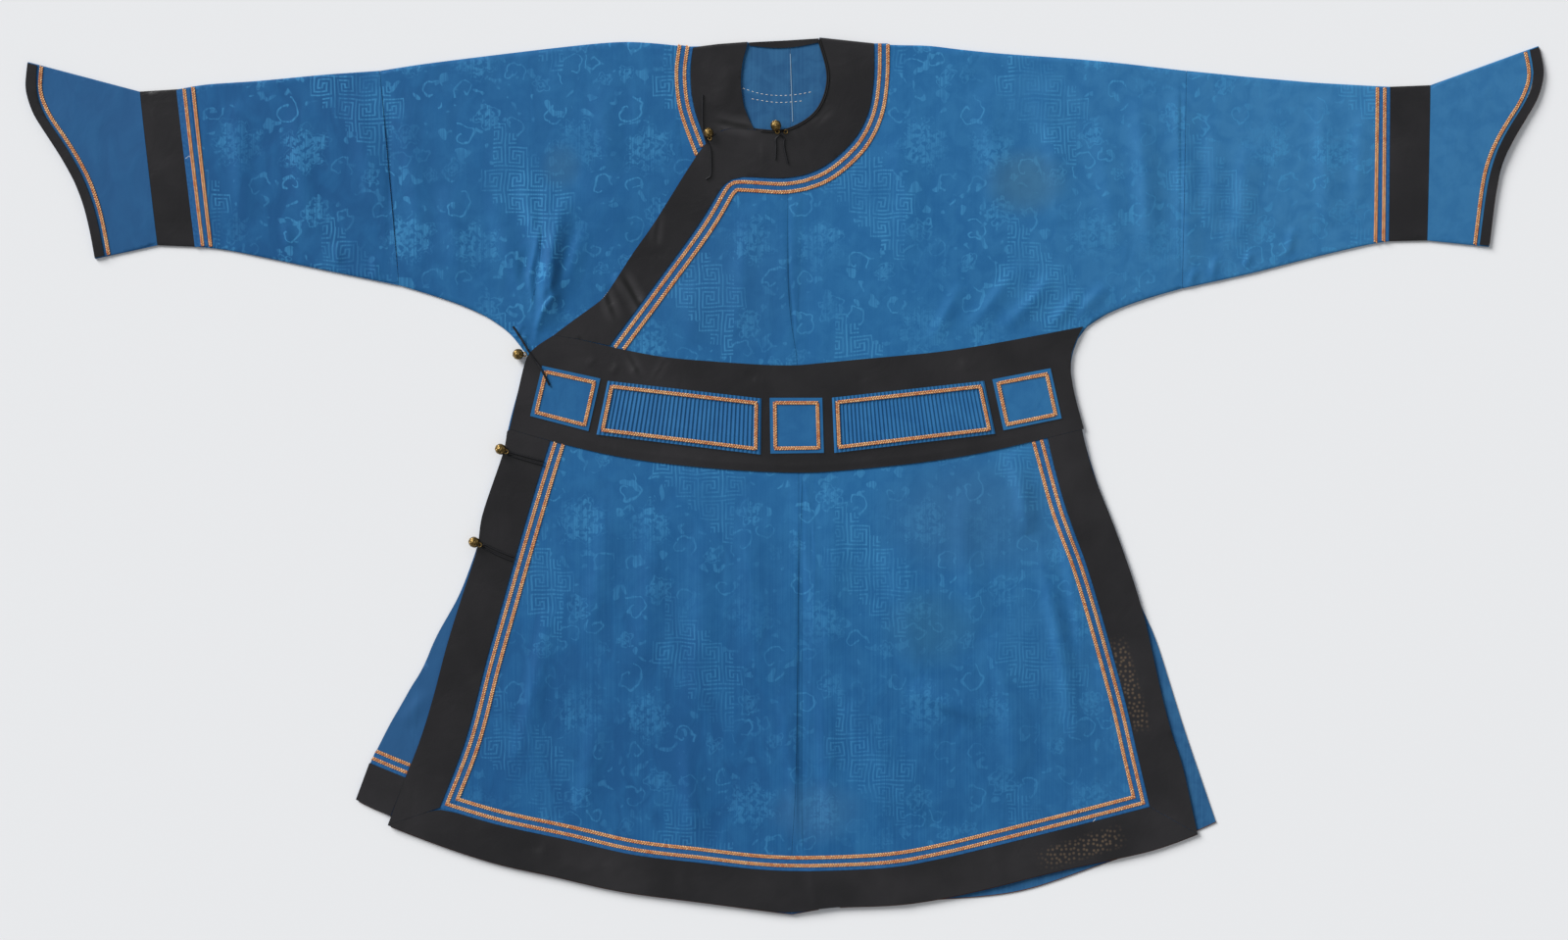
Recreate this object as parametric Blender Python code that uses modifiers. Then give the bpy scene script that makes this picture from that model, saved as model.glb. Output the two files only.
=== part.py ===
"""Court robe, lined, right-closing, laid flat and face up.

Metres, +Z up. X runs across the sleeves and +Y up the robe to its neck. The origin is under the
middle of the whole robe, on the surface it lies on. Right and left are the wearer's: right is -X.
"""

import math
from collections import namedtuple
from types import SimpleNamespace

import bmesh
import bpy
from mathutils import Vector
from mathutils.geometry import delaunay_2d_cdt, intersect_line_line_2d, intersect_point_line

# Cloth, in metres
WALL = 0.0012
TRIM = 0.0010
GAP = 0.0003
PLEAT_RISE = 0.0012

# Heights of the middle of each layer's wall
BACK = WALL / 2
INNER = BACK + WALL + GAP
OUTER = INNER + WALL + GAP
ON_PANEL = WALL / 2 + GAP + TRIM / 2
ON_TRIM = TRIM + GAP

# The outer front lies on the inner front as far as SLOPE_START, then sinks to the back at SIDE_X
SLOPE_START = 0.0225
SIDE_X = 0.520
INNER_EDGE_X = -0.013

# Soft rise of the open fields between the trims
PUFF = 0.0016
REACH = 0.130
FIELD_GRID = 0.060
CURVE_STEP = 0.030
ROLL_STEPS = 3
SECTION_POINTS = 7
HOOF_POINTS = 9
EDGE_CLEAR = 0.0025
SAME_POINT = 0.0002
CLIP_STEPS = 10
BACK_SEAM_X = 0.0069

# Braid: distances of the two braids' middles from the edge of the black
BRAID_WIDTH = 0.0060
BRAID_OUTER = 0.0068
BRAID_INNER = 0.0168
FIELD_EDGE = 0.0220
HOOF_BORDER = 0.0120
HOOF_BRAID = 0.0178
FRAME_MARGIN = 0.0036
FRAME_WIDTH = 0.0056

PLEAT_LEAN = 0.62

BUTTON_RADIUS = 0.00675
BALL_STEPS = 8
SHANK_NECK = 0.0012
SHANK_BEAD = 0.0019
SHANK_LENGTH = 0.0035
SHANK_SINK = 0.985
BEAD_START = 1.5
BEAD_END = 2.2
TURN_STEPS = 16
TURN_MERGE = 0.00005
CORD_STEP = 4
CORD_RADIUS = 0.00125

Edge = namedtuple("Edge", "x y")
ArmSection = namedtuple("ArmSection", "x_top y_top x_under y_under")
Fold = namedtuple("Fold", "x_start y_start x_end y_end width height")
Panel = namedtuple("Panel", "name count top_left top_right low_right low_left")
CordPoint = namedtuple("CordPoint", "x y rests_on")
Button = namedtuple("Button", "name x y z shank_x shank_y shank_z radius")
Side = namedtuple("Side", "points kind front", defaults=("cut", None))


def edges(*rows):
    return [Edge(*row) for row in rows]


# Outline tables: one row for each turn of the edge
SHOULDER_RIGHT = edges(
    (-0.506, 0.505), (-0.463, 0.512), (-0.393, 0.521), (-0.327, 0.529), (-0.257, 0.537),
    (-0.198, 0.542), (-0.155, 0.539), (-0.114, 0.534), (-0.083, 0.538), (-0.045, 0.541),
)
SHOULDER_LEFT = edges(
    (0.043, 0.546), (0.109, 0.539), (0.136, 0.537), (0.179, 0.537), (0.215, 0.532), (0.277, 0.526),
    (0.336, 0.522), (0.407, 0.516), (0.502, 0.505),
)
UNDERARM_RIGHT = edges((-0.482, 0.238), (-0.445, 0.227), (-0.386, 0.206), (-0.342, 0.179), (-0.326, 0.156))
UNDERARM_LEFT = edges((0.497, 0.234), (0.457, 0.223), (0.423, 0.211), (0.403, 0.203), (0.373, 0.186))
SIDE_RIGHT_INNER = edges((-0.326, 0.156), (-0.3205, 0.148), (-0.331, 0.106))
SIDE_RIGHT_OUTER = edges((-0.321, 0.155), (-0.323, 0.150), (-0.333, 0.106))
SIDE_LEFT = edges((0.373, 0.186), (0.363, 0.168), (0.356, 0.148), (0.357, 0.125))
NECK_RIGHT = edges((-0.045, 0.541), (-0.055, 0.511), (-0.055, 0.483), (-0.051, 0.457), (-0.038, 0.432))
NECK_LEFT = edges(
    (0.043, 0.546), (0.055, 0.506), (0.053, 0.480), (0.043, 0.457), (0.027, 0.442), (0.0045, 0.431),
)
NECK_FRONT = edges((0.0045, 0.431), (-0.011, 0.429), (-0.027, 0.430), (-0.038, 0.432))
NECK_BACK_TOP = edges((-0.045, 0.541), (-0.022, 0.543), (0.015, 0.543), (0.032, 0.548), (0.043, 0.546))
NECK_BACK_LOW = edges((-0.0445, 0.537), (-0.022, 0.533), (0.000, 0.532), (0.020, 0.534), (0.0425, 0.541))
OVERLAP_EDGE = edges(
    (-0.038, 0.432), (-0.071, 0.434), (-0.083, 0.431), (-0.102, 0.412), (-0.126, 0.375), (-0.165, 0.312),
    (-0.191, 0.276), (-0.228, 0.219), (-0.257, 0.199), (-0.289, 0.175), (-0.321, 0.155),
)
COLLAR_INSIDE = edges(
    (0.112, 0.536), (0.112, 0.499), (0.107, 0.457), (0.092, 0.424), (0.071, 0.401), (0.046, 0.382),
    (0.022, 0.374), (-0.001, 0.370), (-0.060, 0.374), (-0.072, 0.370), (-0.081, 0.358), (-0.104, 0.318),
    (-0.163, 0.237), (-0.219, 0.162),
)
INNER_COLLAR_EDGE = edges((-0.115, 0.532), (-0.119, 0.506), (-0.117, 0.475), (-0.112, 0.452), (-0.099, 0.418))
BAND_TOP = edges(
    (-0.321, 0.155), (-0.289, 0.175), (-0.219, 0.161), (-0.154, 0.148), (-0.084, 0.142), (-0.027, 0.138),
    (0.016, 0.137), (0.031, 0.139), (0.115, 0.147), (0.200, 0.155), (0.284, 0.169), (0.373, 0.186),
)
BAND_LOW = edges(
    (-0.344, 0.058), (-0.289, 0.042), (-0.196, 0.021), (-0.084, 0.008), (0.016, 0.003), (0.073, 0.006),
    (0.171, 0.016), (0.256, 0.030), (0.374, 0.058),
)
WAIST_JOIN = edges(
    (-0.333, 0.106), (-0.250, 0.098), (-0.154, 0.082), (-0.084, 0.075), (0.0162, 0.070), (0.115, 0.079),
    (0.200, 0.088), (0.284, 0.102), (0.357, 0.125),
)
BODICE_CENTRE = edges((0.0045, 0.431), (0.0045, 0.227), (0.0162, 0.140), (0.0162, 0.070))
SKIRT_CENTRE = edges((0.0162, 0.070), (0.0175, -0.043), (0.0143, -0.361), (0.0087, -0.473), (0.0089, -0.548))
SKIRT_SIDE_RIGHT = edges(
    (-0.333, 0.106), (-0.347, 0.055), (-0.349, 0.035), (-0.361, 0.001), (-0.380, -0.054), (-0.382, -0.070),
    (-0.381, -0.085), (-0.395, -0.126), (-0.422, -0.211), (-0.437, -0.270), (-0.455, -0.330),
    (-0.476, -0.383), (-0.496, -0.437),
)
SKIRT_SIDE_LEFT = edges(
    (0.357, 0.125), (0.363, 0.097), (0.372, 0.056), (0.383, 0.008), (0.399, -0.032), (0.418, -0.080),
    (0.447, -0.168), (0.468, -0.261), (0.484, -0.325), (0.496, -0.357), (0.508, -0.412), (0.516, -0.448),
)
HEM_RIGHT = edges(
    (-0.496, -0.437), (-0.431, -0.462), (-0.357, -0.486), (-0.291, -0.500), (-0.209, -0.519),
    (-0.105, -0.533), (0.0089, -0.548),
)
HEM_LEFT = edges(
    (0.0089, -0.548), (0.049, -0.540), (0.148, -0.536), (0.233, -0.521), (0.346, -0.493), (0.458, -0.469),
    (0.516, -0.448),
)
TRIM_RIGHT = edges(
    (-0.293, 0.043), (-0.301, 0.018), (-0.328, -0.073), (-0.354, -0.165), (-0.375, -0.240),
    (-0.398, -0.330), (-0.431, -0.415),
)
TRIM_HEM = edges(
    (-0.431, -0.415), (-0.357, -0.437), (-0.268, -0.456), (-0.190, -0.474), (-0.105, -0.484),
    (-0.007, -0.494), (0.120, -0.491), (0.195, -0.479), (0.271, -0.461), (0.383, -0.433), (0.456, -0.414),
)
TRIM_LEFT = edges(
    (0.456, -0.414), (0.438, -0.337), (0.426, -0.284), (0.394, -0.168), (0.373, -0.100), (0.352, -0.045),
    (0.327, 0.047),
)
INNER_SKIRT_SIDE = edges(
    (-0.331, 0.106), (-0.344, 0.050), (-0.358, 0.000), (-0.378, -0.070), (-0.407, -0.151), (-0.437, -0.202),
    (-0.453, -0.246), (-0.465, -0.259), (-0.473, -0.276), (-0.494, -0.311), (-0.511, -0.346),
    (-0.519, -0.359), (-0.536, -0.405),
)
INNER_SKIRT_HEM = edges(
    (-0.536, -0.405), (-0.520, -0.414), (-0.492, -0.425), (-0.400, -0.458), (-0.200, -0.505),
    (-0.013, -0.530),
)
INNER_HEM_TOP = edges((-0.519, -0.359), (-0.496, -0.369), (-0.476, -0.377))
BACK_SIDE_RIGHT = edges(
    (-0.333, 0.104), (-0.356, 0.000), (-0.376, -0.070), (-0.404, -0.151), (-0.449, -0.245), (-0.490, -0.311),
    (-0.530, -0.404),
)
BACK_HEM_RIGHT = edges(
    (-0.530, -0.404), (-0.490, -0.421), (-0.369, -0.475), (-0.246, -0.504), (-0.123, -0.526),
    (0.009, -0.540),
)
BACK_SIDE_LEFT = edges(
    (0.356, 0.124), (0.371, 0.056), (0.398, -0.032), (0.446, -0.168), (0.458, -0.186), (0.479, -0.252),
    (0.497, -0.310), (0.506, -0.337), (0.526, -0.395), (0.539, -0.433),
)
BACK_HEM_LEFT = edges(
    (0.009, -0.540), (0.097, -0.533), (0.185, -0.530), (0.258, -0.525), (0.313, -0.515), (0.383, -0.490),
    (0.433, -0.473), (0.516, -0.444), (0.539, -0.433),
)
HOOF_EDGE_RIGHT = edges(
    (-0.946, 0.516), (-0.950, 0.486), (-0.949, 0.472), (-0.939, 0.450), (-0.920, 0.422), (-0.896, 0.385),
    (-0.882, 0.357), (-0.872, 0.326), (-0.862, 0.271),
)
HOOF_EDGE_LEFT = edges(
    (0.942, 0.536), (0.950, 0.509), (0.949, 0.486), (0.937, 0.463), (0.918, 0.434), (0.901, 0.404),
    (0.891, 0.375), (0.886, 0.336), (0.880, 0.286),
)

# Single corners that the tables above don't hold
BACK_NECK_TOP_Y = 0.543
BACK_SEAM_BEND_Y = 0.200
BACK_SKIRT_SEAM_BEND = Edge(0.012, -0.200)
SEAM_CLEARANCE = 0.005
INNER_NECK_LOW_Y = 0.428
INNER_COLLAR_CORNER = Edge(-0.0465, 0.5385)
INNER_HEM_SIDE_LOW_Y = -0.427
INNER_HEM_SIDE_HIGH_Y = -0.379
INNER_HEM_TOP_CORNER = Edge(-0.4735, -0.3775)
INNER_HEM_LOW_CORNERS = edges((-0.4925, -0.4255), (-0.520, -0.414))
COLLAR_CORNER = Edge(0.1115, 0.5365)
BORDER_RIGHT_TOP_Y = 0.056
BORDER_LEFT_TOP_Y = 0.054
BORDER_LEFT_END_X = 0.3715
BORDER_STEP = 0.0005
SHOULDER_DROP = 0.0022
NEAR = 0.0001

# Corners beyond the robe that close the regions where the cloth lies flat
CLOSE_INNER_COLLAR = edges((-0.14, 0.65), (0.0, 0.65))
CLOSE_OVERLAP = edges((-0.321, -0.3), (0.2, -0.3), (0.2, 0.65), (-0.038, 0.65))
CLOSE_COLLAR = edges((-0.45, 0.0), (-0.45, 0.65), (0.134, 0.65))
CLOSE_BAND = edges((0.6, -0.2), (-0.6, -0.2))
CLOSE_ROBE = edges((-1.0, -1.0), (1.0, -1.0), (1.0, 1.0), (-1.0, 1.0))
CLOSE_SKIRT = edges((0.6, 0.6), (-0.6, 0.6))
INNER_FIELD_REACH = 0.06
SKIRT_FIELD_REACH = 0.03

TABLES = {
    "shoulder_right": SHOULDER_RIGHT,
    "shoulder_left": SHOULDER_LEFT,
    "underarm_right": UNDERARM_RIGHT,
    "underarm_left": UNDERARM_LEFT,
    "side_right_inner": SIDE_RIGHT_INNER,
    "side_right_outer": SIDE_RIGHT_OUTER,
    "side_left": SIDE_LEFT,
    "neck_right": NECK_RIGHT,
    "neck_left": NECK_LEFT,
    "neck_front": NECK_FRONT,
    "neck_back_top": NECK_BACK_TOP,
    "neck_back_low": NECK_BACK_LOW,
    "overlap_edge": OVERLAP_EDGE,
    "collar_inside": COLLAR_INSIDE,
    "inner_collar_edge": INNER_COLLAR_EDGE,
    "band_top": BAND_TOP,
    "band_low": BAND_LOW,
    "waist_join": WAIST_JOIN,
    "bodice_centre": BODICE_CENTRE,
    "skirt_centre": SKIRT_CENTRE,
    "skirt_side_right": SKIRT_SIDE_RIGHT,
    "skirt_side_left": SKIRT_SIDE_LEFT,
    "hem_right": HEM_RIGHT,
    "hem_left": HEM_LEFT,
    "trim_right": TRIM_RIGHT,
    "trim_hem": TRIM_HEM,
    "trim_left": TRIM_LEFT,
    "inner_skirt_side": INNER_SKIRT_SIDE,
    "inner_skirt_hem": INNER_SKIRT_HEM,
    "inner_hem_top": INNER_HEM_TOP,
    "back_side_right": BACK_SIDE_RIGHT,
    "back_side_left": BACK_SIDE_LEFT,
    "back_hem_right": BACK_HEM_RIGHT,
    "back_hem_left": BACK_HEM_LEFT,
}

# Sections of each arm, from the cuff's root to the body
ARM_RIGHT = [
    ArmSection(-0.806, 0.479, -0.784, 0.288),
    ArmSection(-0.758, 0.482, -0.734, 0.286),
    ArmSection(-0.725, 0.488, -0.704, 0.284),
    ArmSection(-0.660, 0.492, -0.642, 0.271),
    ArmSection(-0.578, 0.500, -0.561, 0.254),
    ArmSection(-0.506, 0.505, -0.482, 0.238),
]
ARM_LEFT = [
    ArmSection(0.807, 0.487, 0.803, 0.294),
    ArmSection(0.756, 0.485, 0.755, 0.293),
    ArmSection(0.736, 0.486, 0.733, 0.290),
    ArmSection(0.663, 0.490, 0.661, 0.273),
    ArmSection(0.582, 0.497, 0.580, 0.252),
    ArmSection(0.502, 0.505, 0.497, 0.234),
]

# The largest folds, each a soft ridge
FOLDS_INNER_BODICE = [
    Fold(-0.312, 0.372, -0.316, 0.215, 0.018, 0.0018),
    Fold(-0.286, 0.350, -0.302, 0.206, 0.022, 0.0022),
    Fold(-0.252, 0.372, -0.222, 0.300, 0.018, 0.0016),
]
FOLDS_LEFT_BODICE = [
    Fold(0.446, 0.478, 0.452, 0.290, 0.022, 0.0018),
    Fold(0.360, 0.205, 0.316, 0.268, 0.020, 0.0018),
]
FOLDS_OVERLAP_SKIRT = [
    Fold(-0.124, -0.330, -0.116, -0.440, 0.022, 0.0016),
    Fold(-0.300, -0.230, -0.318, -0.370, 0.022, 0.0016),
]
FOLDS_LEFT_SKIRT = [
    Fold(0.041, -0.020, 0.050, -0.150, 0.018, 0.0018),
    Fold(0.292, 0.010, 0.298, -0.080, 0.020, 0.0020),
    Fold(0.322, -0.100, 0.354, -0.260, 0.022, 0.0020),
    Fold(0.158, -0.262, 0.246, -0.306, 0.020, 0.0016),
    Fold(0.092, -0.370, 0.184, -0.424, 0.022, 0.0018),
]

# Panels on the waistband, with the number of pleats across each
PANELS = [
    Panel("right", 0, (-0.303, 0.137), (-0.230, 0.121), (-0.245, 0.055), (-0.318, 0.074)),
    Panel("right", 38, (-0.221, 0.118), (-0.029, 0.096), (-0.030, 0.026), (-0.235, 0.051)),
    Panel("middle", 0, (-0.019, 0.097), (0.047, 0.097), (0.049, 0.028), (-0.018, 0.027)),
    Panel("left", 40, (0.059, 0.097), (0.249, 0.118), (0.263, 0.052), (0.062, 0.028)),
    Panel("left", 0, (0.259, 0.120), (0.332, 0.134), (0.346, 0.071), (0.273, 0.056)),
]

# What a cord can rest on: the height of that cloth's upper face, by name
RESTS = {
    "inner": INNER + WALL / 2,
    "inner_trim": INNER + ON_PANEL + TRIM / 2,
    "edge": INNER + ON_PANEL + TRIM,
    "outer_trim": OUTER + ON_PANEL + TRIM / 2,
    "square": OUTER + ON_PANEL + ON_TRIM + TRIM / 2,
    "frame": OUTER + ON_PANEL + 2 * ON_TRIM + TRIM / 2,
}
LOOPS = {
    "loop_neck": [
        CordPoint(-0.0115, 0.3940, "outer_trim"),
        CordPoint(-0.0105, 0.4130, "outer_trim"),
        CordPoint(-0.0113, 0.4205, "outer_trim"),
        CordPoint(-0.0058, 0.4255, "outer_trim"),
        CordPoint(-0.0003, 0.4205, "outer_trim"),
        CordPoint(-0.0022, 0.4130, "outer_trim"),
        CordPoint(0.0040, 0.3890, "outer_trim"),
    ],
    "loop_collar": [
        CordPoint(-0.1024, 0.4750, "inner_trim"),
        CordPoint(-0.1026, 0.4530, "inner_trim"),
        CordPoint(-0.1026, 0.4370, "inner_trim"),
        CordPoint(-0.1024, 0.4280, "edge"),
        CordPoint(-0.0998, 0.4190, "outer_trim"),
        CordPoint(-0.0935, 0.4130, "outer_trim"),
        CordPoint(-0.0916, 0.4030, "outer_trim"),
        CordPoint(-0.0924, 0.3730, "outer_trim"),
        CordPoint(-0.0985, 0.3695, "outer_trim"),
    ],
    "loop_waist": [
        CordPoint(-0.3395, 0.1860, "inner"),
        CordPoint(-0.3310, 0.1740, "inner"),
        CordPoint(-0.3245, 0.1640, "edge"),
        CordPoint(-0.3215, 0.1580, "outer_trim"),
        CordPoint(-0.3170, 0.1490, "outer_trim"),
        CordPoint(-0.3090, 0.1410, "square"),
        CordPoint(-0.3030, 0.1325, "frame"),
        CordPoint(-0.2990, 0.1230, "frame"),
        CordPoint(-0.2935, 0.1120, "square"),
    ],
    "loop_hip": [
        CordPoint(-0.3020, 0.0180, "outer_trim"),
        CordPoint(-0.3320, 0.0260, "outer_trim"),
        CordPoint(-0.3440, 0.0290, "outer_trim"),
        CordPoint(-0.3470, 0.0268, "outer_trim"),
        CordPoint(-0.3445, 0.0243, "outer_trim"),
        CordPoint(-0.3320, 0.0214, "outer_trim"),
        CordPoint(-0.3020, 0.0130, "outer_trim"),
    ],
    "loop_skirt": [
        CordPoint(-0.3380, -0.1020, "outer_trim"),
        CordPoint(-0.3600, -0.0935, "outer_trim"),
        CordPoint(-0.3750, -0.0860, "outer_trim"),
        CordPoint(-0.3785, -0.0877, "outer_trim"),
        CordPoint(-0.3768, -0.0910, "outer_trim"),
        CordPoint(-0.3620, -0.0980, "outer_trim"),
        CordPoint(-0.3400, -0.1068, "outer_trim"),
    ],
}
BUTTONS = [
    Button("button_neck", -0.0110, 0.4362, 0.0106, 0.25, -0.97, -0.35, BUTTON_RADIUS),
    Button("button_collar", -0.0950, 0.4272, 0.0106, 0.20, -0.98, 0.0, 0.0061),
    Button("button_waist", -0.3327, 0.1512, BUTTON_RADIUS, 1.00, 0.00, 0.0, BUTTON_RADIUS),
    Button("button_hip", -0.3545, 0.0327, 0.0112, 0.92, -0.40, 0.0, BUTTON_RADIUS),
    Button("button_skirt", -0.3875, -0.0833, 0.0108, 0.90, -0.43, 0.0, BUTTON_RADIUS),
]

# Finishes: base colour, roughness, metallic
FINISHES = {
    "damask": ((0.030, 0.135, 0.330, 1.0), 0.45, 0.0),
    "lining": ((0.030, 0.150, 0.360, 1.0), 0.60, 0.0),
    "satin": ((0.012, 0.011, 0.012, 1.0), 0.40, 0.0),
    "braid": ((0.560, 0.270, 0.090, 1.0), 0.55, 0.0),
    "cord": ((0.010, 0.010, 0.012, 1.0), 0.60, 0.0),
    "brass": ((0.420, 0.290, 0.100, 1.0), 0.35, 1.0),
}


def smooth(table, step=CURVE_STEP):
    """Points about a step apart on a Catmull-Rom curve through the table's rows."""
    rows = [Vector(row) for row in table]
    rows = [2 * rows[0] - rows[1]] + rows + [2 * rows[-1] - rows[-2]]
    points = []
    for before, start, end, after in zip(rows, rows[1:], rows[2:], rows[3:]):
        count = max(1, round((end - start).length / step))
        for index in range(count):
            t = index / count
            points.append(
                0.5
                * (
                    2 * start
                    + (end - before) * t
                    + (2 * before - 5 * start + 4 * end - after) * t * t
                    + (3 * start - before - 3 * end + after) * t * t * t
                )
            )
    return points + [rows[-2]]


def resample(points, count):
    """The given number of points, evenly spaced along a chain."""
    lengths = [0.0]
    for start, end in zip(points, points[1:]):
        lengths.append(lengths[-1] + (end - start).length)
    result = []
    for index in range(count):
        target = lengths[-1] * index / (count - 1)
        place = next(i for i in range(1, len(points)) if lengths[i] >= target - 1e-9)
        share = (target - lengths[place - 1]) / (lengths[place] - lengths[place - 1])
        result.append(points[place - 1].lerp(points[place], share))
    return result


def left_normals(points, closed=False):
    """At each point, the sideways step that moves both its edges one unit to their left."""
    normals = []
    count = len(points)
    for index, point in enumerate(points):
        before = points[index - 1] if closed or index else None
        after = points[(index + 1) % count] if closed or index < count - 1 else None
        sides = []
        for start, end in ((before, point), (point, after)):
            if start is not None and end is not None and (end - start).length > 1e-9:
                along = (end - start).normalized()
                sides.append(Vector((-along.y, along.x)))
        total = sum(sides, Vector((0, 0)))
        direction = total.normalized()
        stretch = min(2.0, 1 / max(0.5, direction.dot(sides[0])))
        normals.append(direction * stretch)
    return normals


def aside(points, distance):
    """An open chain moved to its left by a distance, or to its right by a negative one."""
    return [point + normal * distance for point, normal in zip(points, left_normals(points))]


def area(points):
    return 0.5 * sum(a.x * b.y - b.x * a.y for a, b in zip(points, points[1:] + points[:1]))


def without_doubles(points):
    kept = []
    for point in points:
        if not kept or (point - kept[-1]).length > SAME_POINT:
            kept.append(point)
    if (kept[0] - kept[-1]).length <= SAME_POINT:
        kept.pop()
    return kept


def shrunk(points, distance=GAP / 2):
    """A closed outline, turned anticlockwise and drawn in on every side."""
    points = without_doubles(points)
    if area(points) < 0:
        points.reverse()
    return [point + normal * distance for point, normal in zip(points, left_normals(points, closed=True))]


def vectors(table):
    return [Vector(row) for row in table]


def slope_line():
    """The line up the robe where the front begins to slope down to its right side."""
    return [Vector((SLOPE_START, CLOSE_ROBE[0].y)), Vector((SLOPE_START, CLOSE_ROBE[-1].y))]


def drawn_out(chain, start=0.0, end=0.0):
    """A chain with its ends moved outward along it."""
    longer = list(chain)
    longer[0] = chain[0] + (chain[0] - chain[1]).normalized() * start
    longer[-1] = chain[-1] + (chain[-1] - chain[-2]).normalized() * end
    return longer


def inside(point, loops):
    """Whether a point is inside the loops, counting a loop in another as a hole."""
    crossings = 0
    for loop in loops:
        for a, b in zip(loop, loop[1:] + loop[:1]):
            if (a.y > point.y) != (b.y > point.y):
                crossings += a.x + (point.y - a.y) * (b.x - a.x) / (b.y - a.y) > point.x
    return crossings % 2 == 1


def distance_to(point, chain):
    nearest = 1e9
    for start, end in zip(chain, chain[1:]):
        foot, share = intersect_point_line(point, start, end)
        foot = foot.to_2d() if len(foot) == 3 else foot
        if share < 0:
            foot = start
        elif share > 1:
            foot = end
        nearest = min(nearest, (point - foot).length)
    return nearest


def reach(chain, edge, gap=GAP):
    """A chain whose start is drawn out, or cut back, to end a gap short of an edge."""
    start, after = chain[0], chain[1]
    along = (start - after).normalized()
    far = start + along * 0.05
    hits = []
    for a, b in zip(edge, edge[1:]):
        hit = intersect_line_line_2d(after, far, a, b)
        if hit is not None:
            hits.append(hit)
    if not hits:
        return chain
    hit = min(hits, key=lambda spot: (spot - after).length)
    return [hit - along * gap] + chain[1:]


def outer_level(x):
    """Height of the middle of the outer front's wall."""
    share = (x - SLOPE_START) / (SIDE_X - SLOPE_START)
    return OUTER - (OUTER - INNER) * min(max(share, 0.0), 1.0)


def inner_level(_x):
    return INNER


def back_level(_x):
    return BACK


def fold_radius(level):
    """Radius of the fold that joins a layer at a height to the back, at the middle of its wall."""
    return (level - BACK) / 2


def puff(nearest):
    """Rise of a field at a distance from its held edges."""
    share = min(nearest / REACH, 1.0)
    return PUFF * (1 - (1 - share) ** 2)


def section_rise(index, count):
    """Rise of a flattened tube's front at one of its section's points."""
    share = index / (count - 1)
    return PUFF * (1 - (1 - min(2 * share, 2 - 2 * share)) ** 2)


def make_material(name):
    colour, roughness, metallic = FINISHES[name]
    material = bpy.data.materials.new(name)
    material.use_nodes = True
    shader = material.node_tree.nodes["Principled BSDF"]
    shader.inputs["Base Color"].default_value = colour
    shader.inputs["Roughness"].default_value = roughness
    shader.inputs["Metallic"].default_value = metallic
    material.diffuse_color = colour
    return material


def place(name, data, finish):
    """A new object of the robe's collection, with its own material."""
    piece = bpy.data.objects.new(name, data)
    bpy.data.collections["court_robe"].objects.link(piece)
    material = make_material(finish)
    material.name = name + "_" + finish
    data.materials.append(material)
    return piece


def place_mesh(name, mesh_builder, finish):
    mesh = bpy.data.meshes.new(name)
    mesh_builder.to_mesh(mesh)
    mesh_builder.free()
    return place(name, mesh, finish)


def thicken(piece, thickness):
    """Gives an open surface its wall, half to each side."""
    wall = piece.modifiers.new("wall", "SOLIDIFY")
    wall.thickness = thickness
    wall.offset = 0.0
    wall.use_even_offset = True
    return piece


def fold_lines(fold):
    """The crest of a fold and its outline, as chains with the height of each point."""
    start = Vector((fold.x_start, fold.y_start))
    end = Vector((fold.x_end, fold.y_end))
    along = end - start
    across = Vector((-along.y, along.x)).normalized() * fold.width / 2
    near, far = start + along * 0.3, start + along * 0.7
    crest = [(start, 0.0), (near, fold.height), (far, fold.height), (end, 0.0)]
    feet = [
        [(start, 0.0), (near + across * side, 0.0), (far + across * side, 0.0), (end, 0.0)]
        for side in (-1, 1)
    ]
    return [crest] + feet


def fill(loops, lines=(), spots=()):
    """Triangles that fill closed loops, with edges along the given lines and corners at the spots."""
    points, links = [], []
    for loop in loops:
        first = len(points)
        points += loop
        links += [(first + i, first + (i + 1) % len(loop)) for i in range(len(loop))]
    for line in lines:
        first = len(points)
        points += line
        links += [(first + i, first + i + 1) for i in range(len(line) - 1)]
    points += spots
    corners, _, faces, *_ = delaunay_2d_cdt(points, links, [], 0, 1e-6)
    faces = [
        face
        for face in faces
        if inside(sum((corners[i] for i in face), Vector((0, 0))) / len(face), loops)
    ]
    return corners, faces


def grid_spots(loop, keep_clear):
    """Points on a square grid inside a loop, away from its edge and from some chains."""
    low_x, high_x = min(p.x for p in loop), max(p.x for p in loop)
    low_y, high_y = min(p.y for p in loop), max(p.y for p in loop)
    spots = []
    for i in range(math.ceil(low_x / FIELD_GRID), math.floor(high_x / FIELD_GRID) + 1):
        for j in range(math.ceil(low_y / FIELD_GRID), math.floor(high_y / FIELD_GRID) + 1):
            spot = Vector((i * FIELD_GRID, j * FIELD_GRID))
            clear = min(distance_to(spot, chain) for chain in keep_clear) > FIELD_GRID / 3
            if clear and inside(spot, [loop]):
                spots.append(spot)
    return spots


def clear_of(chain, edge_chains):
    """The stretches of a chain that keep off some edges."""
    stretches = [[]]
    for start, end in zip(chain, chain[1:]):
        for index in range(CLIP_STEPS):
            point = start.lerp(end, index / CLIP_STEPS)
            if all(distance_to(point, edge) > EDGE_CLEAR for edge in edge_chains):
                stretches[-1].append((point, index == 0))
            elif stretches[-1]:
                stretches.append([])
    return [
        [point for place, (point, whole) in enumerate(stretch) if whole or place in (0, len(stretch) - 1)]
        for stretch in stretches
        if len(stretch) > 1
    ]


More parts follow.
